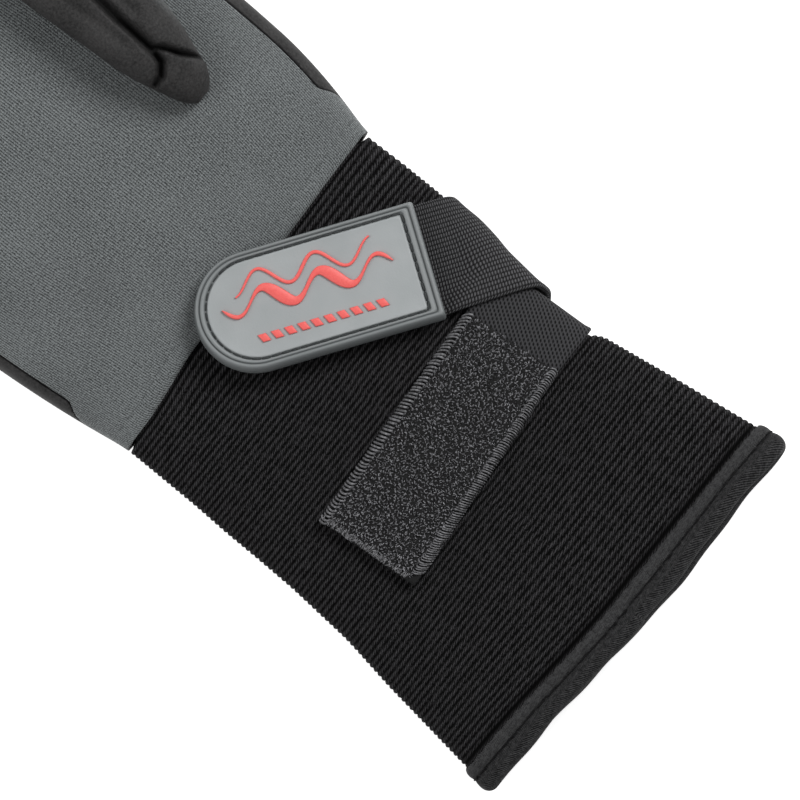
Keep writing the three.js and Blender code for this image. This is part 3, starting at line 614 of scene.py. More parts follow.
# Painted light: on its right flank the leather is painted lighter, to the jersey's grey, fading out
# by along 66.
flank_light_edge = flank_light_across + 2.2 * fade((thumb_along - 42) / 6)
painted_flank_light = fade((x - flank_light_edge) / flank_light_fade) * fade((flank_light_end - thumb_along) / 8)
shades = np.stack([black, painted_flank_light, 0 * x], -1).reshape(-1, 3)
shades = np.concatenate([shades, shades[[0, -1]]])
store(thumb.data, "fold_shade", shades)
thumb.data.materials.append(leather.material)
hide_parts("thumb")
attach(thumb, "root")

# Cuff: a flat-lying tube of black ribbed knit. The ribs run round the wrist; each is a round
# cord of slanting stitches. Its upper end is tucked into the hand and sewn there.

cuff_length, hem_width, cuff_height, knit = 111.4, 102.0, 15.0, 2.2
tuck_length, palm_fabric, back_fabric = 8.0, 2.5, 1.5
hem_lean, hem_underlap, hem_underlap_across, hem_underlap_run = 2.6, 1.8, -30.0, 35.0
hem_lean_start, hem_lean_run = 81.0, 25.0
binding_tape, binding_width, binding_room = 1.1, 7.0, 0.15
strap_thickness, strap_room, strap_lap = 1.6, 0.5, 22.0
strap_climb_start, strap_climb_end, bend_climb_start, bend_climb_spread = 6.0, 1.5, 18.0, 8.0
hollow_margin, hollow_fade = 3.0, 8.0
loop_strap_width, loop_strap_start, loop_strap_along, loop_strap_slope = 25.0, -29.0, 56.7, 0.0615
loop_strap_skew, loop_pad_length, loop_pad_border = 1.6, 56.6, 1.6
free_end_flare, pad_end_skew = 2.6, 1.8
pull_strap_width, pull_strap_in_tab, pull_strap_shift = 26.4, 13.0, -0.8
tab_end_across, tab_end_along, tab_turn = 31.5, 27.0, np.radians(-35)
rib_pitch, rib_height, knit_pitch, knit_slant = 1.32, 0.45, 0.98, 2.4
even_along, hem_round = 50.0, 0.4
shoulder_start, shoulder_end = 0.25, 0.7

# along, left spread, right spread, lift
cuff_rows = np.array([
    (0.000, 0.00, -0.03, 0), (0.080, 0.03, 0.01, 0), (0.175, 0.06, 0.00, 0),
    (0.265, 0.14, -0.26, 0), (0.350, 0.17, -0.76, 0), (0.440, 0.23, -0.93, 0),
    (0.585, 0.45, -0.81, 0), (0.615, 0.53, -0.40, 0), (0.720, 0.86, -0.11, 0),
    (0.850, 1.18, 0.27, 0.2), (0.930, 1.38, 0.50, 1), (1.000, 1.50, 0.65, 1),
])


def cuff_extents(along, wall=0.0):
    """The cuff's section: tucked into the hand, then stepping out just below the seam; the
    inner face does so a wall further on."""
    left, right, lift = from_rows(cuff_rows, along / cuff_length, 0.012)
    tuck = np.clip((shoulder_end + wall - along) / (shoulder_end - shoulder_start), 0, 1)
    half = (wrist_width + (hem_width - wrist_width) * np.array([left, right])) / 2
    inside = wrist_width / 2 - palm_fabric - clearance
    tucked_bottom, tucked_top = back_fabric + clearance, wrist_height - palm_fabric - clearance
    bottom = (binding_tape + clearance) * lift
    return (
        -(half[0] + (inside - half[0]) * tuck),
        half[1] + (inside - half[1]) * tuck,
        bottom + (tucked_bottom - bottom) * tuck,
        cuff_height + (tucked_top - cuff_height) * tuck,
    )


def cuff_point(angle, along, offset):
    """A point of the cuff's face, pushed out by an offset, at an angle round its section.
    The underside is lifted over the straps, and the hem leans and underlaps."""
    angle, along, offset = np.broadcast_arrays(angle, along, offset)
    left, right, bottom, top = cuff_extents(along, np.maximum(-offset, 0))
    left, right, bottom, top = left - offset, right + offset, bottom - offset, top + offset
    x, z = tube_section(left, right, bottom, top, angle, crown_squareness)
    middle = (top + bottom) / 2
    below = np.clip((middle - z) / (middle - bottom), 0, 1)
    edge = cuff_extents(np.array(loop_strap_along))[1]
    hollow_start = edge - strap_lap - hollow_margin - hollow_fade
    hollow_end = loop_strap_along + loop_strap_width / 2 + hollow_margin + hollow_fade
    hollow = (
        2 * (strap_thickness + strap_room) * fade((x - hollow_start) / hollow_fade)
        * fade((along - (tab_end_along - pull_strap_width / 2)) / hollow_fade)
        * fade((hollow_end - along) / hollow_fade)
    )
    z = z + below * hollow
    lean = hem_lean * fade((x + hem_width / 2) / (hem_width / 2))
    under = hem_underlap * (1 - np.clip(z / cuff_height, 0, 1))
    under = under * fade((x - hem_underlap_across) / hem_underlap_run)
    hem = (lean + under) * fade((along - hem_lean_start) / hem_lean_run)
    y = -along + wrist_seam(x, z, along) - hem
    return np.stack([x, y, z], -1)


def girth_of(ring):
    """The walk round a ring of points from its first one, in x and z alone."""
    step = np.hypot(*(ring[:, 1:, [0, 2]] - ring[:, :-1, [0, 2]]).transpose(2, 0, 1))
    return np.concatenate([np.zeros((len(ring), 1)), np.cumsum(step, axis=1)], axis=1)


def even_angles(along, sides):
    """Angles that part one section of the cuff into equal walks, starting at the crown."""
    fine = np.pi / 2 + np.linspace(0, 2 * np.pi, 1440)
    walk = girth_of(cuff_point(fine[None, :], np.full((1, 1), along), 0.0))[0]
    return np.interp(np.linspace(0, walk[-1], sides + 1)[:-1], walk, fine)


def ring_uv(girths, rows):
    """uv of a grid that wraps: the walk round it, closed by one more step, and a value a row."""
    walk = np.append(girths, 2 * girths[-1] - girths[-2])
    return np.stack(np.broadcast_arrays(walk[None, :], rows[:, None]), -1)


cuff_angles = even_angles(even_along, 150)
face_end = cuff_length - hem_round
face_alongs = np.linspace(-tuck_length, face_end, int(6 * cuff_length / rib_pitch))
lining_alongs = np.linspace(face_end, -tuck_length, 90)
alongs = np.concatenate([face_alongs, [cuff_length], lining_alongs])
depth = np.concatenate([0 * face_alongs, [knit / 2], knit + 0 * lining_alongs])
ribs = np.abs(np.cos(np.pi * face_alongs / rib_pitch)) ** 0.8 - 0.5
ribs = np.concatenate([rib_height * ribs * fade((face_alongs + 1) / 2), [0], 0 * lining_alongs])
tape_edge = cuff_length + clearance + binding_tape - binding_width
pressed = 0.9 * np.exp(-(((alongs - tape_edge + 0.7) / 0.9) ** 2)) * (depth == 0)
off_sides = fade((0.95 - np.abs(np.cos(cuff_angles))) / 0.15)[None, :]
offset = (ribs - depth)[:, None] - pressed[:, None] * off_sides
girths = girth_of(cuff_point(cuff_angles[None, :], np.array([[even_along]]), 0.0))[0]
wobble = 0.22 * np.sin(girths / 11.0 + 0.4)[None, :] * np.sin(alongs / 16.0)[:, None]
cuff_points = cuff_point(cuff_angles[None, :], alongs[:, None] + wobble, offset)
cuff_uv = ring_uv(girths, np.append(alongs, alongs[-1]))
cuff = object_from("cuff_knit", surface("cuff_knit", cuff_points, wrap_rows=True, uv=cuff_uv))


def ribbed(name, dark, light):
    """Knit ribs: slanting stitches along each rib, with painted shade between them and beside the
    tape.
    """
    finish = Finish(name)
    uv = finish.node("ShaderNodeUVMap", {"uv_map": "cloth"})
    around, along, _ = finish.parts(uv)
    in_rib = (along / rib_pitch + 0.5).fract() - 0.5
    fuzz = finish.noise(uv, 1.7, 3.0, 0.7)
    patch = finish.noise(uv, 0.45, 2.0, 0.6)
    slanted = around - in_rib * knit_slant + fuzz * 0.8
    stitch = (slanted * (2 * np.pi / knit_pitch)).sin() * 0.5 + 0.5
    crown = (1.1 - (in_rib * 2.0).abs() * 1.35).clamp()
    height = (stitch * 0.95 + 0.05) * crown
    # Painted shade: darker in the valleys between the stitches and in a band beside the binding
    # tape's edge.
    lit = height * 1.15 + (fuzz - 0.5) * 1.2 + (patch - 0.5) * 0.5
    shadow = ((along - tape_edge + 0.9).abs() * 0.75).clamp()
    finish.set(
        Base_Color=finish.mix((lit * shadow).clamp(), dark, light),
        Roughness=0.95,
        Normal=finish.bump(height + fuzz * 0.3, 0.2),
        Specular_IOR_Level=0.12,
    )
    return finish


knitted = ribbed("black_ribbed_knit", (2, 2, 2), (72, 71, 73))
cuff.data.materials.append(knitted.material)
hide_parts("cuff")
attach(cuff, "root")

# Binding: a black tape folded round the hem and topstitched, puckered by its stitches.

stitch_pitch, stitch_line, bind_row, bind_middle = 3.4, 2.1, 0.33, 4.9
bind_angles = even_angles(cuff_length, 700)
bind_girth = girth_of(cuff_point(bind_angles[None, :], np.array([[cuff_length]]), 0.0))[0]

# along and offset round the folded tape: its outer face from the top round the hem to the
# lining's side, and back along its inner face
reach = knit / 2 + binding_room + binding_tape
bind_turn = cuff_length - reach * 0.2
fold = np.linspace(0, np.pi, 18)[1:-1]
face_run = tape_edge + (bind_turn - tape_edge) * np.linspace(0, 1, 26)
face = np.stack([face_run, np.full(26, reach - knit / 2)], -1)
bend = np.stack([bind_turn + 1.15 * reach * np.sin(fold), reach * np.cos(fold) - knit / 2], -1)
outer = np.concatenate([face, bend, face[::-1] * [1, -1] - [0, knit]])
inner = outer[::-3].copy()
inner[:, 1] = np.where(inner[:, 1] > -knit / 2, 0.02, -knit - 0.02)
inner[:, 0] = np.minimum(inner[:, 0], cuff_length + 0.3)
profile_along, profile_offset = np.concatenate([outer, inner]).T[:, :, None]
from_turn, from_edge = bind_turn - profile_along, profile_along - tape_edge
outside = (np.arange(len(outer) + len(inner)) < len(outer))[:, None]
pucker = 0.5 + 0.5 * np.cos(2 * np.pi * bind_girth / stitch_pitch)[None, :]
dimple = np.exp(-(((from_turn - stitch_line) / 0.75) ** 2)) * (0.35 + 0.65 * pucker)
hollowed = 0.7 * dimple + 0.10 * np.sin(bind_girth / 1.9)[None, :] * fade(from_turn / 4)
edge_down = 0.75 * np.exp(-np.clip(from_edge, 0, None) / 0.5)
push = -(hollowed + edge_down) * outside * np.where(profile_offset > -knit / 2, 1, -1)
scallop = 0.22 * (pucker - 0.5) * np.exp(-np.abs(from_edge) / 1.2)
waver = 0.3 * np.sin(bind_girth / 6.5 + 1.0) + 0.16 * np.sin(bind_girth / 2.7)
waver = waver[None, :] * fade(from_edge / 5.0)
bind_points = cuff_point(
    bind_angles[None, :], profile_along - scallop + waver, profile_offset + push
)
bind_uv = ring_uv(bind_girth, np.arange(len(bind_points) + 1) * bind_row)
bind_mesh = surface("hem_binding_tape", bind_points, wrap_rows=True, uv=bind_uv)
binding = object_from("hem_binding_tape", bind_mesh)

tape = Finish("black_binding_tape")
tape_uv = tape.node("ShaderNodeUVMap", {"uv_map": "cloth"})
tape_run, tape_across, _ = tape.parts(tape_uv)
thread = ((tape_across + tape_run * 0.5) * (2 * np.pi / 0.42)).sin() * 0.5 + 0.5
lint = tape.noise(tape_uv, 2.5, 3.0, 0.7)
mottle = tape.noise(tape_uv, 0.9, 3.0, 0.7)
upper_band = ((bind_middle - tape_across) * 1.2).clamp()
beside = (1.0 - (tape_across - bind_middle).abs() * 1.4).clamp()
dash = ((tape_run * (2 * np.pi / stitch_pitch)).sin() * 0.6 + 0.7) * beside
weave = (thread - 0.5) * 0.7 + (lint - 0.5) * 1.6 + (mottle - 0.5) * 1.5
lit = (weave + 0.28 + upper_band * 0.24 - dash * 0.5).clamp()
tape.set(
    Base_Color=tape.mix(lit, (6, 6, 7), (78, 78, 79)),
    Roughness=0.85,
    Normal=tape.bump(thread * 0.5 + lint * 0.6, 0.1),
    Specular_IOR_Level=0.2,
)
binding.data.materials.append(tape.material)
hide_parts("cuff_binding")
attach(binding, "root")

# Straps: two bands of charcoal elastic. Each is a flat webbing laid on the cuff's unrolled
# face, round the thumb-side edge and in under the cuff. The pull strap crosses the other.

tab_axis = np.array([np.cos(tab_turn), np.sin(tab_turn)])
tab_side = np.array([-tab_axis[1], tab_axis[0]])
table_alongs = np.linspace(0, cuff_length, 227)
quarters = np.linspace(-1, 2, 601)
closer = np.where(np.abs(quarters) < 1, np.sign(quarters) * np.abs(quarters) ** 1.6, quarters)
table_angles = np.pi / 2 * (1 - closer)
table_points = cuff_point(table_angles[None, :], table_alongs[:, None], 0.0)
table_girths = girth_of(table_points)
crown = 200
table_girths += (table_points[:, crown, 0] - table_girths[:, crown])[:, None]


def on_cuff(girth, along, offset):
    """The cuff's point at a walk across its crown and round its thumb-side edge; at the
    crown the walk equals the place across."""
    girth, along, offset = np.broadcast_arrays(girth, along, offset)
    place = np.clip(along / cuff_length, 0, 1) * (len(table_alongs) - 1)
    row = np.minimum(place.astype(int), len(table_alongs) - 2)
    share = place - row
    angle = 0
    for step, weight in ((0, 1 - share), (1, share)):
        found = np.empty(girth.shape)
        for k in np.unique(row):
            here = row == k
            found[here] = np.interp(girth[here], table_girths[k + step], table_angles)
        angle = angle + weight * found
    return cuff_point(angle, along, offset)


edge_x = table_points[:, 400, 0]
strap_row = int(round(loop_strap_along / cuff_length * (len(table_alongs) - 1)))
bend_start = edge_x[strap_row] - cuff_height / 2
under_edge = (table_angles < 0) & (table_points[strap_row, :, 0] < edge_x[strap_row] - strap_lap)
lap_girth = table_girths[strap_row][under_edge][0]
loop_pad_end = loop_strap_start + loop_pad_length


def loop_middle(girth):
    run = np.minimum(girth, loop_pad_end) - loop_strap_start
    return loop_strap_along - loop_strap_slope * run


def loop_place(girth, width):
    """A place on the loop strap. Its free end is cut at a slant and flares to the hem side,
    and both ease out to the bend."""
    ease = np.clip((bend_start - girth) / (bend_start - loop_strap_start), 0, 1)
    skew = loop_strap_skew * (0.5 - width / loop_strap_width) * ease
    flare = free_end_flare * np.clip(-width / loop_strap_width, 0, 1) * ease
    return girth + skew, loop_middle(girth) - width + flare


def pull_place(length, width):
    return (tab_end_across + tab_axis[0] * length + tab_side[0] * width,
            tab_end_along - tab_axis[1] * length - tab_side[1] * width)


def pull_offset(girth, along):
    """Height of the pull strap over the cuff: it climbs onto the other strap at its edge,
    sooner round the thumb-side edge."""
    edge = loop_middle(girth) - loop_strap_width / 2
    sooner = fade((girth - bend_start) / bend_climb_spread)
    climb = strap_climb_start + (bend_climb_start - strap_climb_start) * sooner
    over = fade((along - (edge - climb)) / (climb - strap_climb_end))
    return strap_room + (strap_thickness + strap_room) * over


def band_section(width, thickness, columns):
    """Across and height of a band's section: flat faces with round edges, as a closed loop."""
    radius = thickness / 2
    across = np.linspace(-width / 2 + radius, width / 2 - radius, columns)
    bend = np.linspace(-np.pi / 2, np.pi / 2, 8)[1:-1]
    right = [width / 2 - radius, radius] + radius * np.stack([np.cos(bend), np.sin(bend)], -1)
    low = np.stack([across, 0 * across], -1)
    high = np.stack([across[::-1], thickness + 0 * across], -1)
    return np.concatenate([low, right, high, right[::-1] * [-1, 1]])


def band(name, lengths, section, place, height):
    """A band along a strap: its section carried along the lengths on the cuff's face. uv
    holds the length and the walk round the section."""
    across, rise = section[:, 0][None, :], section[:, 1][None, :]
    girth, along = place(lengths, across)
    points = on_cuff(girth, along, height(girth, along) + rise)
    step = np.hypot(*np.diff(np.concatenate([section, section[:1]]), axis=0).T)
    walk = np.concatenate([[0], np.cumsum(step)])
    lengths_uv = np.broadcast_to(lengths[:, :1], (len(lengths), len(walk)))
    uv = np.stack([lengths_uv, np.broadcast_to(walk[None, :], lengths_uv.shape)], -1)
    return object_from(name, surface(name, points, uv=uv))


def webbing(name, pitch, knot, slant, step, valley, crest, depth):
    """Woven elastic: rows of small knots, slanting across each row and set on by a step
    from row to row; a colour in the valleys between them and one on their crests."""
    finish = Finish(name)
    uv = finish.node("ShaderNodeUVMap", {"uv_map": "cloth"})
    length, across, _ = finish.parts(uv)
    rows = across * (1 / pitch)
    in_row = rows.fract()
    place = length + in_row * slant + (rows - in_row) * step
    bead = (place * (2 * np.pi / knot)).sin() * 0.5 + 0.5
    fuzz = finish.noise(uv, 2.6, 3.0, 0.7)
    height = (in_row * np.pi).sin() * bead
    finish.set(
        Base_Color=finish.mix((height * 1.25 + (fuzz - 0.5) * 0.9).clamp(), valley, crest),
        Roughness=0.9,
        Normal=finish.bump(height + fuzz * 0.4, depth),
        Specular_IOR_Level=0.2,
    )
    return finish.material


to_bend = np.linspace(loop_strap_start, bend_start, 90)
loop_lengths = np.append(to_bend, np.linspace(bend_start, lap_girth, 110)[1:])[:, None]
loop_section = band_section(loop_strap_width, strap_thickness, 26)
loop_strap = band("loop_strap_webbing", loop_lengths, loop_section, loop_place,
                  lambda girth, along: strap_room)
loop_strap.data.materials.append(
    webbing("charcoal_webbing_mesh", 0.78, 1.07, 0.5, 0.53, (65, 65, 67), (9, 9, 10), -0.12))
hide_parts("loop_strap")
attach(loop_strap, "root")

pull_section = band_section(pull_strap_width, strap_thickness, 34) + [pull_strap_shift, 0]


def pull_lengths(width):
    """Lengths along the pull strap for each thread, cut in line with the other strap's end."""
    far = (lap_girth - tab_end_across - tab_side[0] * width) / tab_axis[0]
    return -pull_strap_in_tab + (far + pull_strap_in_tab) * np.linspace(0, 1, 170)[:, None]


lengths = pull_lengths(pull_section[:, 0][None, :])
pull_strap = band("pull_strap_webbing", lengths, pull_section, pull_place, pull_offset)
pull_strap.data.materials.append(
    webbing("charcoal_webbing_rows", 1.05, 0.72, 0.4, 0.2, (16, 16, 17), (92, 92, 94), 0.22))
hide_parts("pull_strap")
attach(pull_strap, "root")

# Loop pad: dark loop pile sewn onto the strap with satin stitches along both long edges.

pad_side_room, pad_room, pad_ground, pile_root = 0.1, 0.05, 0.55, 0.5
pad_seat = strap_room + strap_thickness + pad_room
pad_section = band_section(loop_strap_width - 2 * pad_side_room, pad_ground, 26)


def pad_end(width):
    """Where the pad ends: its seam runs slanting, sooner on the hand side."""
    return loop_pad_end - pad_end_skew * (0.5 + width / loop_strap_width)


pad_start = loop_strap_start + 0.3
pad_run = pad_end(pad_section[:, 0])[None, :] - pad_start
pad_lengths = pad_start + pad_run * np.linspace(0, 1, 80)[:, None]
pad = band("loop_pad_ground", pad_lengths, pad_section, loop_place, lambda girth, along: pad_seat)
ground = Finish("dark_pile_ground")
ground_spot = ground.place()
ground_fuzz = ground.noise(ground_spot, 1.8, 3.0, 0.7)
ground.set(
    Base_Color=ground.mix(ground_fuzz, (2, 2, 2), (26, 26, 27)),
    Roughness=0.95,
    Normal=ground.bump(ground_fuzz, 0.2),
)
pad.data.materials.append(ground.material)
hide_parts("loop_pad")
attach(pad, "root")


def arches(name, feet, heads, tops, radius, sides=4, steps=5):
    """Many small arched threads as one mesh: each is a half-ellipse from a foot to a head
    over a top, with a round section."""
    count = len(feet)
    swing = np.linspace(0, np.pi, steps + 1)
    middle = (feet + heads) / 2
    path = (middle[:, None] - (heads - feet)[:, None] / 2 * np.cos(swing)[None, :, None]
            + (tops - middle)[:, None] * np.sin(swing)[None, :, None])
    ahead = np.gradient(path, axis=1)
    ahead /= np.linalg.norm(ahead, axis=2, keepdims=True) + 1e-9
    plane = np.cross(heads - feet, tops - middle)
    plane /= np.linalg.norm(plane, axis=1, keepdims=True) + 1e-9
    plane = np.broadcast_to(plane[:, None], path.shape)
    other = np.cross(ahead, plane)
    turn = 2 * np.pi * np.arange(sides) / sides
    size = np.broadcast_to(np.asarray(radius), (count,))[:, None, None, None]
    ring = (plane[:, :, None] * np.cos(turn)[None, None, :, None]
            + other[:, :, None] * np.sin(turn)[None, None, :, None]) * size
    points = (path[:, :, None] + ring).reshape(-1, 3)
    per = (steps + 1) * sides
    i, j = np.meshgrid(np.arange(steps), np.arange(sides), indexing="ij")
    quad = np.stack([i * sides + j, i * sides + (j + 1) % sides,
                     (i + 1) * sides + (j + 1) % sides, (i + 1) * sides + j], -1).reshape(-1, 4)
    faces = (np.arange(count)[:, None, None] * per + quad[None]).reshape(-1, 4)
    caps = np.arange(sides)
    ends = np.stack([caps[::-1], caps + steps * sides])
    ends = (np.arange(count)[:, None, None] * per + ends[None]).reshape(-1, sides)
    loops = np.concatenate([faces.ravel(), ends.ravel()])
    starts = np.concatenate([4 * np.arange(len(faces)), faces.size + sides * np.arange(len(ends))])
    return object_from(name, mesh_from(name, points, loops, starts))


chance = np.random.default_rng(7)
pile_half = loop_strap_width / 2 - loop_pad_border
pile_cell, pile_edge = 0.55, 0.2
rows_u = np.arange(loop_strap_start + 1.3, loop_pad_end - pile_edge, pile_cell)
rows_w = np.arange(-pile_half + pile_edge, pile_half - pile_edge / 2, pile_cell)
u, w = [value.ravel() for value in np.meshgrid(rows_u, rows_w)]
on_ground = u < pad_end(w) - pile_edge
u, w = u[on_ground], w[on_ground]
u = u + chance.normal(0, 0.2, u.size)
w = w + chance.normal(0, 0.2, w.size)
heading = chance.uniform(0, 2 * np.pi, u.size)
reach = chance.uniform(0.22, 0.6, u.size)
lift = chance.uniform(0.25, 0.8, u.size) * (0.75 + 0.25 * np.sin(u * 1.9) * np.sin(w * 2.4))
sway = chance.normal(0, 0.2, (2, u.size))


def on_pad(length, width, rise):
    girth, along = loop_place(length, width)
    return on_cuff(girth, along, pad_seat + pile_root + rise)


pile = arches(
    "loop_pad_pile",
    on_pad(u - reach * np.cos(heading) / 2, w - reach * np.sin(heading) / 2, -0.15),
    on_pad(u + reach * np.cos(heading) / 2, w + reach * np.sin(heading) / 2, -0.15),
    on_pad(u + sway[0], w + sway[1], lift),
    chance.uniform(0.07, 0.12, u.size),
)
fluff = Finish("dark_loop_pile")
fluff_tone = fluff.noise(fluff.place(), 1.5, 2.0, 0.6)
fluff.set(
    Base_Color=fluff.mix(((fluff_tone - 0.5) * 3.6 + 0.48).clamp(), (7, 7, 8), (158, 158, 162)),
    Roughness=0.85,
    Specular_IOR_Level=0.25,
)
pile.data.materials.append(fluff.material)
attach(pile, "root")

# Hook pad: a strip of hooks sewn under the pull tab, which holds it to the pile.

hook = object_from("hook_pad_strip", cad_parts["hook_pad"].data.copy())
hooks = Finish("dark_hook_strip")
hook_spot = hooks.place()
hook_x, hook_y, _ = hooks.parts(hook_spot)
hook_dots = (hook_x * (np.pi / 0.9)).sin().abs() * (hook_y * (np.pi / 0.9)).sin().abs()
hooks.set(
    Base_Color=hooks.mix(hook_dots, (22, 22, 23), (60, 60, 62)),
    Roughness=0.7,
    Normal=hooks.bump(hook_dots, 0.3),
)
hook.data.materials.clear()
hook.data.materials.append(hooks.material)
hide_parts("hook_pad")
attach(hook, "root")

# Pull tab: light grey moulded rubber with one round end, a raised rim, a stitched groove
# round its face and a raised red ornament. It is sewn over the end of the pull strap.

tab_length, tab_width = 55.3, 28.0
tab_climb, tab_roll = 0.03, -0.06
along_axis = np.array([-tab_axis[0], -tab_axis[1], tab_climb])
along_axis /= np.linalg.norm(along_axis)
tab_up = np.cross([tab_side[0], tab_side[1], tab_roll], along_axis)
tab_up /= np.linalg.norm(tab_up)
across_axis = np.cross(tab_up, along_axis)
tab_nodes = vertices_of(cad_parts["pull_tab"].data)
tab_foot = np.array([tab_end_across, -tab_end_along, 0.0])
tab_foot[2] = ((tab_nodes @ tab_up).min() - tab_foot @ tab_up) / tab_up[2]
upper_side = np.sign(across_axis @ view_up)


def on_tab(length, width, height):
    """A point of the tab's own frame: from its square end, towards its upper side, up."""
    length, width, height = np.broadcast_arrays(length, width, height)
    return (tab_foot + length[..., None] * along_axis
            + (upper_side * width)[..., None] * across_axis + height[..., None] * tab_up)


def tab_outline(square, upper, lower, round_end, corner=0.7):
    """The tab's outline, inset by four amounts: its square end, its upper and lower sides
    and its round end. Corners of the square end are arcs."""
    top, bottom = tab_width / 2 - upper, -tab_width / 2 + lower
    middle, radius = (top + bottom) / 2, (top - bottom) / 2
    far = tab_length - round_end
    turn = np.linspace(-np.pi / 2, np.pi / 2, 72)
    arc = np.stack([far - radius + radius * np.cos(turn), middle + radius * np.sin(turn)], -1)
    bend = np.linspace(np.pi / 2, np.pi, 7)
    upper_bend = corner * np.stack([np.cos(bend), np.sin(bend)], -1)
    upper_bend += [square + corner, top - corner]
    lower_bend = np.stack([upper_bend[::-1, 0], bottom + top - upper_bend[::-1, 1]], -1)
    share = np.linspace(0, 1, 34)[1:-1, None]
    return np.concatenate([
        arc, arc[-1] + (upper_bend[0] - arc[-1]) * share, upper_bend,
        upper_bend[-1] + (lower_bend[0] - upper_bend[-1]) * share, lower_bend,
        lower_bend[-1] + (arc[0] - lower_bend[-1]) * share,
    ])


# square, upper, lower, round, height, light: the tab's skin from its underside over the rim,
# the groove and onto its face, with how light it is painted there: painted shade darkens its
# walls, rim and grooves against the face
tab_rings = np.array([
    (3, 3, 3, 3, 0.05, 0), (0.9, 0.9, 0.9, 0.9, 0, 0), (0.3, 0.3, 0.3, 0.3, 0.12, 0),
    (0, 0, 0, 0, 0.5, 0), (0, 0, 0.1, 0, 1.1, 0.05), (0.12, 0.06, 0.75, 0.25, 2, 0.1),
    (0.3, 0.16, 1.15, 0.45, 2.55, 0.3), (0.55, 0.32, 1.4, 0.65, 2.8, 0.5),
    (0.85, 0.55, 1.65, 0.95, 2.86, 0.5), (1.15, 0.8, 1.9, 1.2, 2.78, 0.35),
    (1.35, 0.98, 2.05, 1.4, 2.3, 0), (1.5, 1.08, 2.15, 1.5, 2.28, 0),
    (1.7, 1.2, 2.3, 1.65, 2.7, 0.45), (2.3, 1.4, 2.5, 2.1, 2.76, 0.6),
    (2.7, 1.6, 2.72, 2.5, 2.66, 0.55), (2.85, 1.72, 2.82, 2.65, 2.3, 0.35),
    (3, 1.84, 2.92, 2.78, 2.1, 0.35), (3.4, 2.14, 3.18, 3.08, 2.1, 0.4),
    (3.55, 2.26, 3.3, 3.2, 2.3, 0.6), (3.65, 2.36, 3.4, 3.3, 2.6, 0.9),
    (3.85, 2.52, 3.55, 3.45, 2.74, 1), (4.15, 2.8, 3.8, 3.75, 2.72, 1),
    (4.6, 3.2, 4.2, 4.2, 2.66, 1), (6, 5, 6, 6, 2.64, 1), (9, 8.5, 9.2, 9, 2.64, 1),
])
tab_points = np.stack([on_tab(*tab_outline(*row[:4]).T, row[4]) for row in tab_rings])
tab = object_from("pull_tab_rubber", surface("pull_tab_rubber", tab_points))
# Painted shade: the tab's walls, rim and grooves are painted darker than its face.
lights = np.repeat(tab_rings[:, 5], tab_points.shape[1])
lights = np.concatenate([lights, lights[[0, -1]]])[:, None] * [1, 0, 0]
store(tab.data, "painted_rim_shading", lights)
rubber = Finish("light_grey_rubber")
rubber_spot = rubber.place()
rubber_cloud = rubber.noise(rubber_spot, 0.12)
rubber_skin = rubber.noise(rubber_spot, 2.2, 3.0, 0.6)
rubber_painted_shading, _, _ = rubber.parts(rubber.place("painted_rim_shading"))
rubber_face = rubber.mix(rubber_cloud, (152, 157, 158), (170, 174, 175))
rubber.set(
    Base_Color=rubber.mix(rubber_painted_shading, (84, 88, 89), rubber_face),
    Roughness=0.42 + rubber_skin * 0.12,
    Normal=rubber.bump(rubber_skin, 0.03),
    Specular_IOR_Level=0.45,
)
tab.data.materials.append(rubber.material)
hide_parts("pull_tab")
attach(tab, "root")

face_height = tab_rings[-1, 4]
relief_height = 0.62


def raised_ribbon(name, along, middle, half, height):
    """A raised band on the tab's face along a line: a low round-shouldered ridge."""
    slope = np.gradient(middle, along)
    normal = np.stack([-slope, np.ones_like(slope)], -1) / np.hypot(1, slope)[:, None]
    across, rise = np.array([
        (-1, -0.3), (-1, 0.55), (-0.9, 0.85), (-0.75, 1), (0, 1), (0.75, 1), (0.9, 0.85),
        (1, 0.55), (1, -0.3),
    ]).T[:, None]
    rim = np.minimum(half, 0.9)[:, None]
    reach = np.sign(across) * (half[:, None] - rim * (1 - np.abs(across)))
    points = on_tab(along[:, None] + normal[:, :1] * reach, middle[:, None] + normal[:, 1:] * reach,
                    face_height + height * rise)
    return surface(name, points)


def raised_lozenge(name, middle, size, lean, height):
    """A small raised slanting lozenge with eased edges."""
    corner = np.array([(-1, -1), (0, -1), (1, -1), (1, 0), (1, 1), (0, 1), (-1, 1), (-1, 0)]) * size
    corner[:, 0] += lean * corner[:, 1]
    steps = [(1.0, -0.3), (1.0, 0.6), (0.88, 0.9), (0.7, 1.0)]
    rings = [
        on_tab(*(middle + corner * grow).T, face_height + height * rise) for grow, rise in steps
    ]
    return surface(name, np.stack(rings))


red = Finish("coral_red_rubber")
red_skin = red.noise(red.place(), 2.0)
red.set(
    Base_Color=red.mix(red_skin, (236, 90, 87), (252, 114, 108)),
    Roughness=0.45,
    Normal=red.bump(red_skin, 0.02),
)

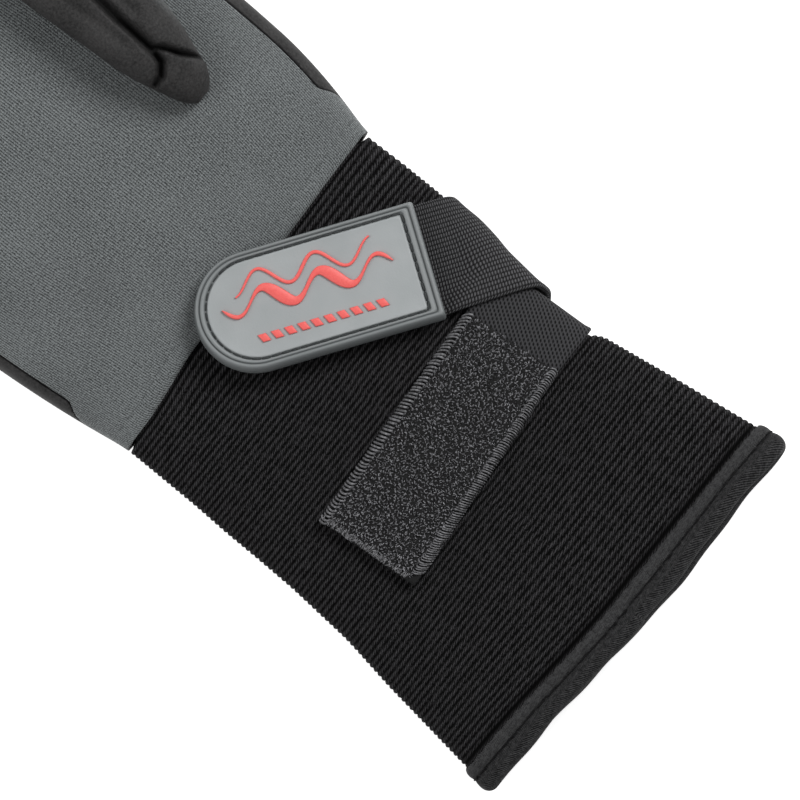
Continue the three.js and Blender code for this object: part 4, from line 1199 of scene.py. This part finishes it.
wave_start, wave_end, wave_length = 8.0, 48.5, 13.5
wave_shift, wave_swing, ripple_shift, ripple_trim = 2.2, 2.5, 4.4, 24
lozenge_row, lozenge_size, lozenge_lean, lozenge_count = -6.4, 0.95, 0.45, 10
wave_along = np.linspace(wave_start, wave_end, 260)
wave_share = (wave_along - wave_start) / (wave_end - wave_start)
swell = np.sin(np.pi * np.clip(wave_share, 0.004, 0.996)) ** 0.55
phase = 2 * np.pi * (wave_along - wave_start) / wave_length
wave_middle = wave_shift + wave_swing * np.sin(phase)
trimmed = slice(ripple_trim, -ripple_trim)
relief = [
    raised_ribbon("wave", wave_along, wave_middle, swell * (1.0 + 0.55 * np.cos(phase)),
                  relief_height),
    raised_ribbon("ripple", wave_along[trimmed], wave_middle[trimmed] + ripple_shift,
                  0.42 * swell[trimmed], 0.8 * relief_height),
]
for place in np.linspace(13, 41, lozenge_count):
    relief.append(raised_lozenge("lozenge", (place, lozenge_row), lozenge_size, lozenge_lean,
                                 0.8 * relief_height))
ornament = merged("tab_ornament", relief)
ornament.data.materials.append(red.material)
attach(ornament, "root")


def along_line(line, pitch):
    """Points and headings at even steps along a closed line."""
    closed = np.concatenate([line, line[:1]])
    walk = np.concatenate([[0], np.cumsum(np.hypot(*np.diff(closed, axis=0).T))])
    count = int(walk[-1] / pitch)
    places = np.linspace(0, walk[-1], count, endpoint=False)
    return [np.stack([np.interp(places + shift, walk, closed[:, k]) for k in (0, 1)], -1)
            for shift in (0.0, 0.42 * walk[-1] / count, 0.84 * walk[-1] / count)]


def twisted(name, dark, light, roughness, depth):
    """Sewing thread, whose tone and bump follow a fine twist."""
    finish = Finish(name)
    twist = finish.noise(finish.place(), 4.0)
    finish.set(
        Base_Color=finish.mix(twist, dark, light),
        Roughness=roughness,
        Normal=finish.bump(twist, depth),
    )
    return finish


dark_thread = twisted("dark_thread", (30, 33, 34), (66, 70, 71), 0.6, 0.08)
groove_line = tab_outline(3.2, 1.99, 3.05, 2.93, 0.9)
start, centre, stop = along_line(groove_line, 2.3)
stitch_size = np.where(centre[:, 0] > tab_length - 8, 0.12, 0.24)
tab_stitches = arches("tab_stitches", on_tab(*start.T, 1.95), on_tab(*stop.T, 1.95),
                      on_tab(*centre.T, 2.42), stitch_size, sides=7, steps=9)
tab_stitches.data.materials.append(dark_thread.material)
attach(tab_stitches, "root")

# Stitching: thin grey dashes that hold the grey shell to the cuff, satin stitches along the
# loop pad's long edges and loose ends across its free end, and dark stitches through the binding.

grey_thread = twisted("grey_thread", (58, 61, 62), (110, 114, 115), 0.65, 0.06)
seam_x = np.arange(-43, 44, wrist_stitch_pitch)


def on_wrist(x, rise):
    """A point on the grey shell's top, on the stitch line in from the wrist seam."""
    top = hand_top(x, 0 * x + wrist_stitch_in)
    y = wrist_stitch_in + wrist_seam(x, top, 0 * x)
    return np.stack([x, y, hand_top(x, y) + rise - 0.28], -1)


seam_stitches = arches(
    "wrist_stitches", on_wrist(seam_x, -0.3), on_wrist(seam_x + 2.2, -0.3),
    on_wrist(seam_x + 1.1, 0.12), 0.13, sides=6, steps=7,
)
seam_stitches.data.materials.append(grey_thread.material)
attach(seam_stitches, "root")

satin_edge = loop_strap_width / 2


def satin(side, pitch, width, start, radius):
    """Feet, heads, tops and radii of the satin stitches over one long edge of the pad."""
    u = np.arange(start, pad_end(side * satin_edge), pitch)
    u = u + chance.normal(0, 0.06, u.size)
    outer = side * (satin_edge + 0.12 + chance.normal(0, 0.08, u.size))
    inner = side * (satin_edge - width + chance.normal(0, 0.13, u.size))
    lean = 0.35 * side
    return (on_pad(u - lean, outer, -1.2), on_pad(u + lean, inner, -0.1),
            on_pad(u, side * (satin_edge - width / 2), 0.55),
            radius + chance.normal(0, 0.015, u.size))


def fray(count):
    """Loose ends across the pad's free end, each with its own reach and heading."""
    w = chance.uniform(-satin_edge + 2.5, satin_edge - 0.4, count)
    near = loop_strap_start + chance.uniform(0.1, 0.7, count)
    reach = chance.uniform(0.6, 1.5, count)
    sway = chance.normal(0, 0.55, count)
    return (on_pad(near, w, -0.6), on_pad(near + reach, w + sway, -0.1),
            on_pad(near + reach / 2, w + sway / 2, chance.uniform(0.1, 0.4, count)),
            chance.uniform(0.08, 0.14, count))


sewn = [satin(1, 0.86, 1.8, loop_strap_start + 0.4, 0.26),
        satin(-1, 0.57, 2.0, loop_strap_start + 3.0, 0.17), fray(150)]
feet, heads, tops, radii = [np.concatenate(parts) for parts in zip(*sewn)]
satin_stitches = arches("loop_pad_satin", feet, heads, tops, radii, sides=6, steps=7)
lit_thread = Finish("charcoal_satin_thread")
lit_tone = lit_thread.noise(lit_thread.place(), 1.6)
lit = ((lit_tone - 0.5) * 2.4 + 0.5).clamp()
lit_thread.set(
    Base_Color=lit_thread.mix(lit, (52, 52, 54), (140, 140, 143)),
    Roughness=0.6,
)
satin_stitches.data.materials.append(lit_thread.material)
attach(satin_stitches, "root")

hem_along = bind_turn - stitch_line
hem_starts = np.arange(0, bind_girth[-1] - stitch_pitch, stitch_pitch)


def on_hem(girth, rise):
    angle = np.interp(girth, bind_girth, bind_angles)
    return cuff_point(angle, hem_along, binding_tape + binding_room + rise)


hem_stitches = arches(
    "hem_stitches", on_hem(hem_starts + 0.35, -0.55), on_hem(hem_starts + 2.9, -0.55),
    on_hem(hem_starts + 1.6, -0.12), 0.17, sides=6, steps=7,
)
black_thread = twisted("black_hem_thread", (3, 3, 3), (26, 26, 27), 0.8, 0.06)
black_thread.set(Specular_IOR_Level=0.2)
hem_stitches.data.materials.append(black_thread.material)
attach(hem_stitches, "root")
